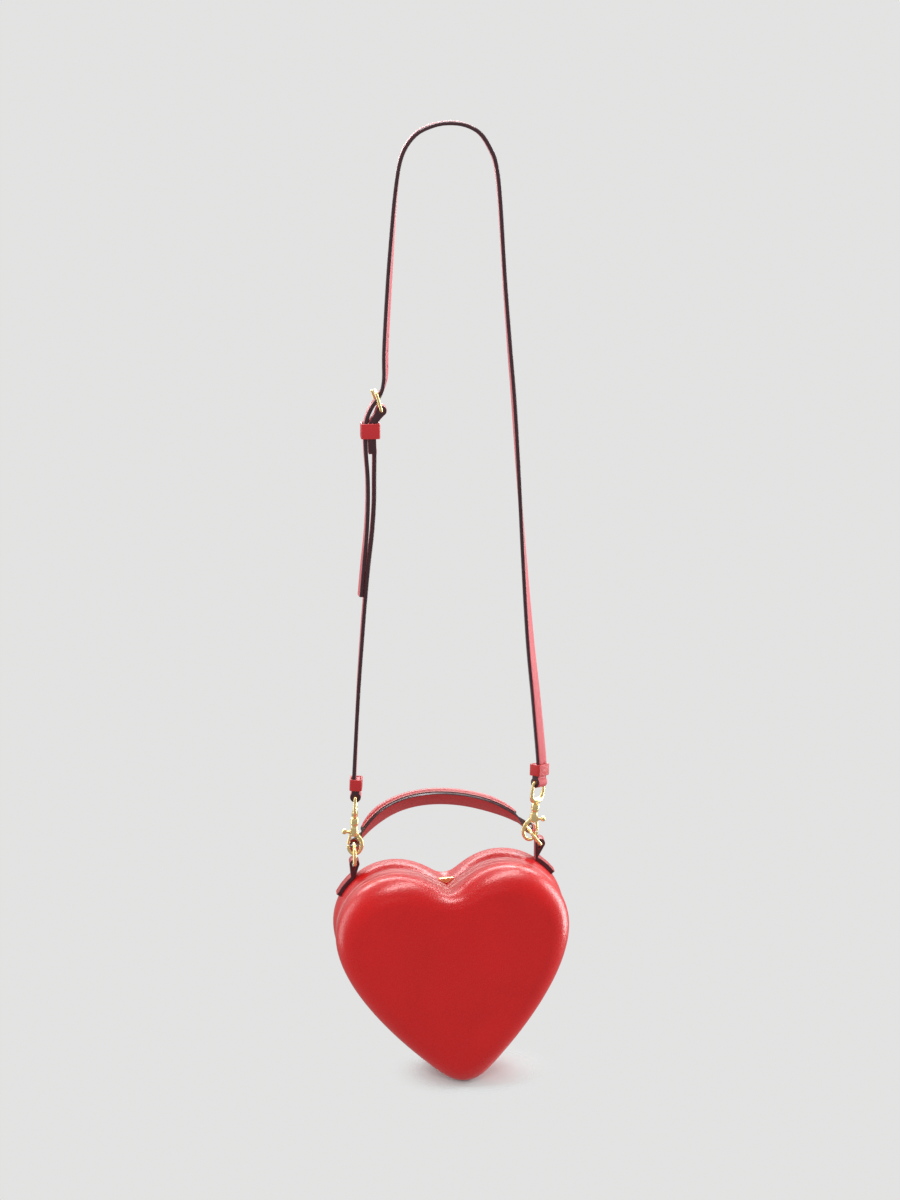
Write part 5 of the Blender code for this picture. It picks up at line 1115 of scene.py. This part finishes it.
def smooth_route(points, step=route_step):
    """A smooth line through the points, sampled about every step."""
    curve = [Vector(point) for point in points]
    samples = [curve[0]]
    for i in range(len(curve) - 1):
        a, b = curve[max(i - 1, 0)], curve[i]
        c, d = curve[i + 1], curve[min(i + 2, len(curve) - 1)]
        count = max(1, math.ceil((c - b).length / step))
        for k in range(1, count + 1):
            t = k / count
            samples.append((b * 2 + (c - a) * t + (a * 2 - b * 5 + c * 4 - d) * t * t
                            + (b * 3 - a - c * 3 + d) * t ** 3) / 2)
    return samples


def strap_section():
    """Half round edges and barely crowned faces, as (across, through), and the painted sides."""
    half, thick = strap_wide / 2, strap_thick / 2
    right = [(half - strap_round + strap_round * math.cos(t), thick * math.sin(t)) for t in
             [math.radians(a) for a in (-80, -55, -28, 0, 28, 55, 80)]]
    top = [(half * 0.5, thick), (0.0, thick * strap_crown), (-half * 0.5, thick)]
    left = [(-x, -z) for x, z in right]
    bottom = [(-x, -z) for x, z in top]
    return right + top + left + bottom, set(range(6)) | set(range(10, 16))


def turn_at(turns, share):
    for (s0, a0), (s1, a1) in zip(turns, turns[1:]):
        if share <= s1:
            t = (share - s0) / (s1 - s0)
            return a0 + (a1 - a0) * t * t * (3.0 - t * 2.0)
    return turns[-1][1]


def strand(name, route, turns):
    """A flat strap along a route, turned about its line by degrees at shares of the way."""
    samples = smooth_route(route)
    total = sum((b - a).length for a, b in zip(samples, samples[1:]))
    section, edges = strap_section()
    rings, gone = [], 0.0
    for i, spot in enumerate(samples):
        before, after = samples[max(i - 1, 0)], samples[min(i + 1, len(samples) - 1)]
        if i:
            gone += (spot - samples[i - 1]).length
        way = (after - before).normalized()
        out = Vector((-way.z, 0.0, way.x)).normalized()
        turn = math.radians(turn_at(turns, gone / total))
        wide = Vector((0.0, math.cos(turn), 0.0)) + out * math.sin(turn)
        thick = out * math.cos(turn) - Vector((0.0, math.sin(turn), 0.0))
        rings.append([spot + wide * u + thick * v for u, v in section])
    piece = skin(name, rings)
    piece.data.materials.append(strap_calf)
    piece.data.materials.append(edge_paint)
    count = len(section)
    for k, face in enumerate(piece.data.polygons[:(len(rings) - 1) * count]):
        face.material_index = 1 if k % count in edges else 0
    smooth(piece, 50)
    return piece


def fold_frame(word, lean):
    """A fold's place: the bar at its origin, its width along the eye and the strap up Z."""
    side, _, _, eye_turn = hook_hang[word]
    place, eye_turn = hook_places[word], math.radians(eye_turn)
    wide = place.to_3x3() @ Vector((math.cos(eye_turn), math.sin(eye_turn), 0.0))
    up = Vector((math.sin(math.radians(lean)), 0.0, math.cos(math.radians(lean))))
    up = (up - wide * up.dot(wide)).normalized()
    bar = place @ Vector((side * body_side, 0.0, eye_top))
    return Matrix.Translation(bar) @ Matrix((wide.cross(up), wide, up)).transposed().to_4x4()


fold_places = {word: fold_frame(word, lean) for word, lean in fold_leans.items()}


def fold(word):
    """A strap end folded round an eye and sewn to itself."""
    place, half = fold_places[word], fold_thick / 2
    outline = arc((0.0, 0.0), fold_loop, fold_start, fold_end, 30)
    outline = [(-half, fold_length)] + outline + [(half, fold_length)]
    folded = sheet_shape("strap_fold_" + word, (outline, circle((0.0, 0.0), fold_room)), fold_wide,
                         fold_round, place @ upright(0.0))
    paint_edges(folded, strap_calf, place.to_3x3() @ Vector((0.0, 1.0, 0.0)))
    return folded


def fold_way(word, out_side):
    """Where the single strap leaves the fold, on its outer ply."""
    outer_ply = (fold_thick - strap_thick) / 2 * out_side
    return [fold_places[word] @ Vector((outer_ply, 0.0, fold_length + reach))
            for reach in (-fold_overlap, fold_overlap)]


def in_front_view(points, origin=Vector((0.0, 0.0, 0.0)), wide=1.0, tall=1.0):
    return [Vector((x * wide, 0.0, z * tall)) + origin for x, z in points]


tail_route = ((-0.0159, -0.1394), (-0.0137, -0.1150), (-0.0114, -0.0920), (-0.0102, -0.0700),
              (-0.0102, -0.0500), (-0.0114, -0.0320), (-0.0118, -0.0190), (-0.0114, -0.0100),
              (-0.0093, -0.0025), (-0.0062, 0.0036), (-0.0024, 0.0086), (0.0002, 0.0130),
              (0.0020, 0.0180), (0.0032, 0.0260))
left_route = ((-0.655, -0.332), (-0.626, -0.258), (-0.591, -0.184), (-0.539, -0.096), (-0.474, -0.046),
              (-0.340, -0.017), (-0.164, -0.004))
right_route = ((0.0, 0.0), (0.176, -0.003), (0.330, -0.015), (0.434, -0.037), (0.497, -0.061),
               (0.540, -0.112), (0.594, -0.230), (0.650, -0.334), (0.694, -0.409), (0.751, -0.530),
               (0.809, -0.652), (0.877, -0.776), (0.946, -0.870))
long_turns = ((0.0, 6.0), (0.10, 0.0), (0.165, 0.0), (0.20, -17.0), (0.25, -17.0), (0.40, -2.0), (0.55, 2.0),
              (0.68, -3.0), (1.0, 45.0))
short_turns = ((0.0, -6.0), (0.5, 0.0), (1.0, 0.0))
low_end, high_end = fold_way("right", 1)
route = in_front_view(tail_route, heel)
route += in_front_view(left_route + right_route, wide=strap_spread, tall=strap_drop)
long_strand = strand("strap_long_strand", route + [high_end, low_end], long_turns)
prong_slot_half_wide, prong_slot_half_long, prong_slot_lean = 0.0016, 0.0032, math.radians(37)
prong_slot_spot = Vector((-0.0038, 0.0, 0.0068))
cut_out(long_strand, block("prong_hole", (-overrun, -prong_slot_half_wide, -prong_slot_half_long),
                           (overrun, prong_slot_half_wide, prong_slot_half_long),
                           Matrix.Translation(heel + prong_slot_spot)
                           @ Matrix.Rotation(prong_slot_lean, 4, "Y")))
hole_radius, hole_x, hole_long, hole_rises = 0.0011, 0.0035, 0.009, (0.021, 0.032, 0.043, 0.054)
for rise in hole_rises:
    cut_out(long_strand, rod("adjusting_hole", "X", heel + Vector((hole_x, 0.0, rise)), hole_long,
                             hole_radius))
join_pieces(long_strand, fold("right"))
dress(long_strand, None, "strap", "strap_leather", "strap_long")

short_route = ((-0.0180, -0.2150), (-0.0152, -0.1750), (-0.0123, -0.1394), (-0.0099, -0.1150),
               (-0.0072, -0.0920), (-0.0056, -0.0700), (-0.0053, -0.0500), (-0.0051, -0.0360),
               (-0.0049, -0.0285))
heel_route = ((-0.0064, -0.0320), (-0.0068, -0.0220), (-0.00685, -0.0125), (-0.0056, -0.0084),
              (-0.0027, -0.0042))
heel_thick, heel_loop, heel_open = 0.0059, 0.0040, 115
heel_slot_half, heel_slot_wide, heel_slot_low = 0.0056, 0.0016, 0.0028
low_end, high_end = fold_way("left", -1)
short_strand = strand("strap_short_strand", [low_end, high_end] + in_front_view(short_route, heel),
                      short_turns)
heel_line = [Vector((spot.x, spot.y))
             for spot in smooth_route([(x, z, 0.0) for x, z in heel_route], heel_step)]
toward = (-heel_line[-1]).normalized()
heading = math.degrees(math.atan2(toward.y, toward.x))
left, right = ribbon(heel_line, heel_thick)
outline = left + arc((0.0, 0.0), heel_loop, heading + heel_open, heading - heel_open, 26) + right[::-1]
heel_fold = sheet_shape("heel_fold", (outline, circle((0.0, 0.0), fold_room)), fold_wide, fold_round,
                        Matrix.Translation(heel) @ upright(0.0))
paint_edges(heel_fold, strap_calf, Vector((0.0, 1.0, 0.0)))
cut_out(heel_fold, block("heel_slot", (-heel_slot_half, -heel_slot_wide, -heel_slot_low),
                         (heel_slot_half, heel_slot_wide, heel_slot_half), Matrix.Translation(heel)))
join_pieces(short_strand, heel_fold, fold("left"))
dress(short_strand, None, "strap", "strap_leather", "strap_short")

# End keepers: a narrow strip of calf sewn into a loop goes round each fold and holds it
# closed over the hook's eye.
keeper_wall, keeper_half, keeper_round = 0.0014, 0.0054, 0.0006
keeper_corner_outer, keeper_corner_inner = 0.0016, 0.0009
end_keeper_half, end_keeper_rise, end_keeper_tall = 0.0033, 0.0096, 0.0088
keeper_calf = leather("keeper_calf", (0.50, 0.022, 0.026), (0.42, 0.015, 0.018), 1500.0,
                      rough=(0.42, 0.55), coat=0.0)


def loop_of_leather(name, low, high, middle, height, place):
    """A keeper between two sides, its middle and height measured along the strap."""
    def corners(grow, radius):
        points = []
        for x, y, start in ((high, keeper_half, 0), (low, keeper_half, 90), (low, -keeper_half, 180),
                            (high, -keeper_half, 270)):
            sx, sy = (1 if x == high else -1), (1 if y > 0 else -1)
            points += arc((x + sx * (grow - radius), y + sy * (grow - radius)), radius, start, start + 90, 5)
        return points

    outlines = (corners(keeper_wall, keeper_corner_outer), corners(0.0, keeper_corner_inner))
    return sheet_shape(name, outlines, height, keeper_round, place @ Matrix.Translation((0.0, 0.0, middle)))


for word, place in fold_places.items():
    keeper = loop_of_leather("fold_keeper_" + word, -end_keeper_half, end_keeper_half, end_keeper_rise,
                             end_keeper_tall, place)
    dress(keeper, keeper_calf, "strap", "strap_leather", "end_keeper_" + word)

# Buckle: a round-cornered frame of gold wire on the folded heel, with a prong that turns on
# the frame's bar and goes through the strap. A loose keeper slides on both strands below it.
buckle_wire, buckle_half, buckle_corner, buckle_high = 0.0012, 0.0057, 0.0018, 0.0125
buckle_lean = math.radians(-16)
prong_wide, prong_hub, prong_room, prong_wire, prong_start = 0.0024, 0.0025, 0.0015, 0.0009, 0.0018
loose_low, loose_high, loose_rise, loose_tall = -0.0137, -0.0023, -0.0150, 0.0114
buckle_place = Matrix.Translation(heel) @ Matrix.Rotation(buckle_lean, 4, "Y")
path = []
for y, z, start in ((buckle_half, buckle_corner, -90), (buckle_half, buckle_high, 0),
                    (-buckle_half, buckle_high, 90), (-buckle_half, buckle_corner, 180)):
    path += [(0.0, u, v) for u, v in arc((y, z), buckle_corner, start, start + 90, 6)]
dress(wire("buckle_loop", path, buckle_wire, closed=True, place=buckle_place), gold, "strap", "polished_gold",
      "buckle_frame")
prong = rod("prong_hub", "Y", heel, prong_wide, prong_hub)
cut_out(prong, rod("prong_bore", "Y", heel, prong_wide + overrun, prong_room))
prong_route = ((0.0, 0.0), (-0.0030, 0.0050), (-0.0046, 0.0082), (-0.0060, 0.0120), (-0.0070, 0.0150))
prong_line = [spot for spot in smooth_route(in_front_view(prong_route, heel), prong_step)
              if (spot - heel).length > prong_start]
join_pieces(prong, wire("prong_tine", prong_line, prong_wire))
dress(prong, gold, "prong", "polished_gold", "buckle_prong")
keeper = loop_of_leather("loose_keeper", loose_low, loose_high, loose_rise, loose_tall,
                         Matrix.Translation(heel))
dress(keeper, keeper_calf, "keeper", "strap_leather", "buckle_keeper")
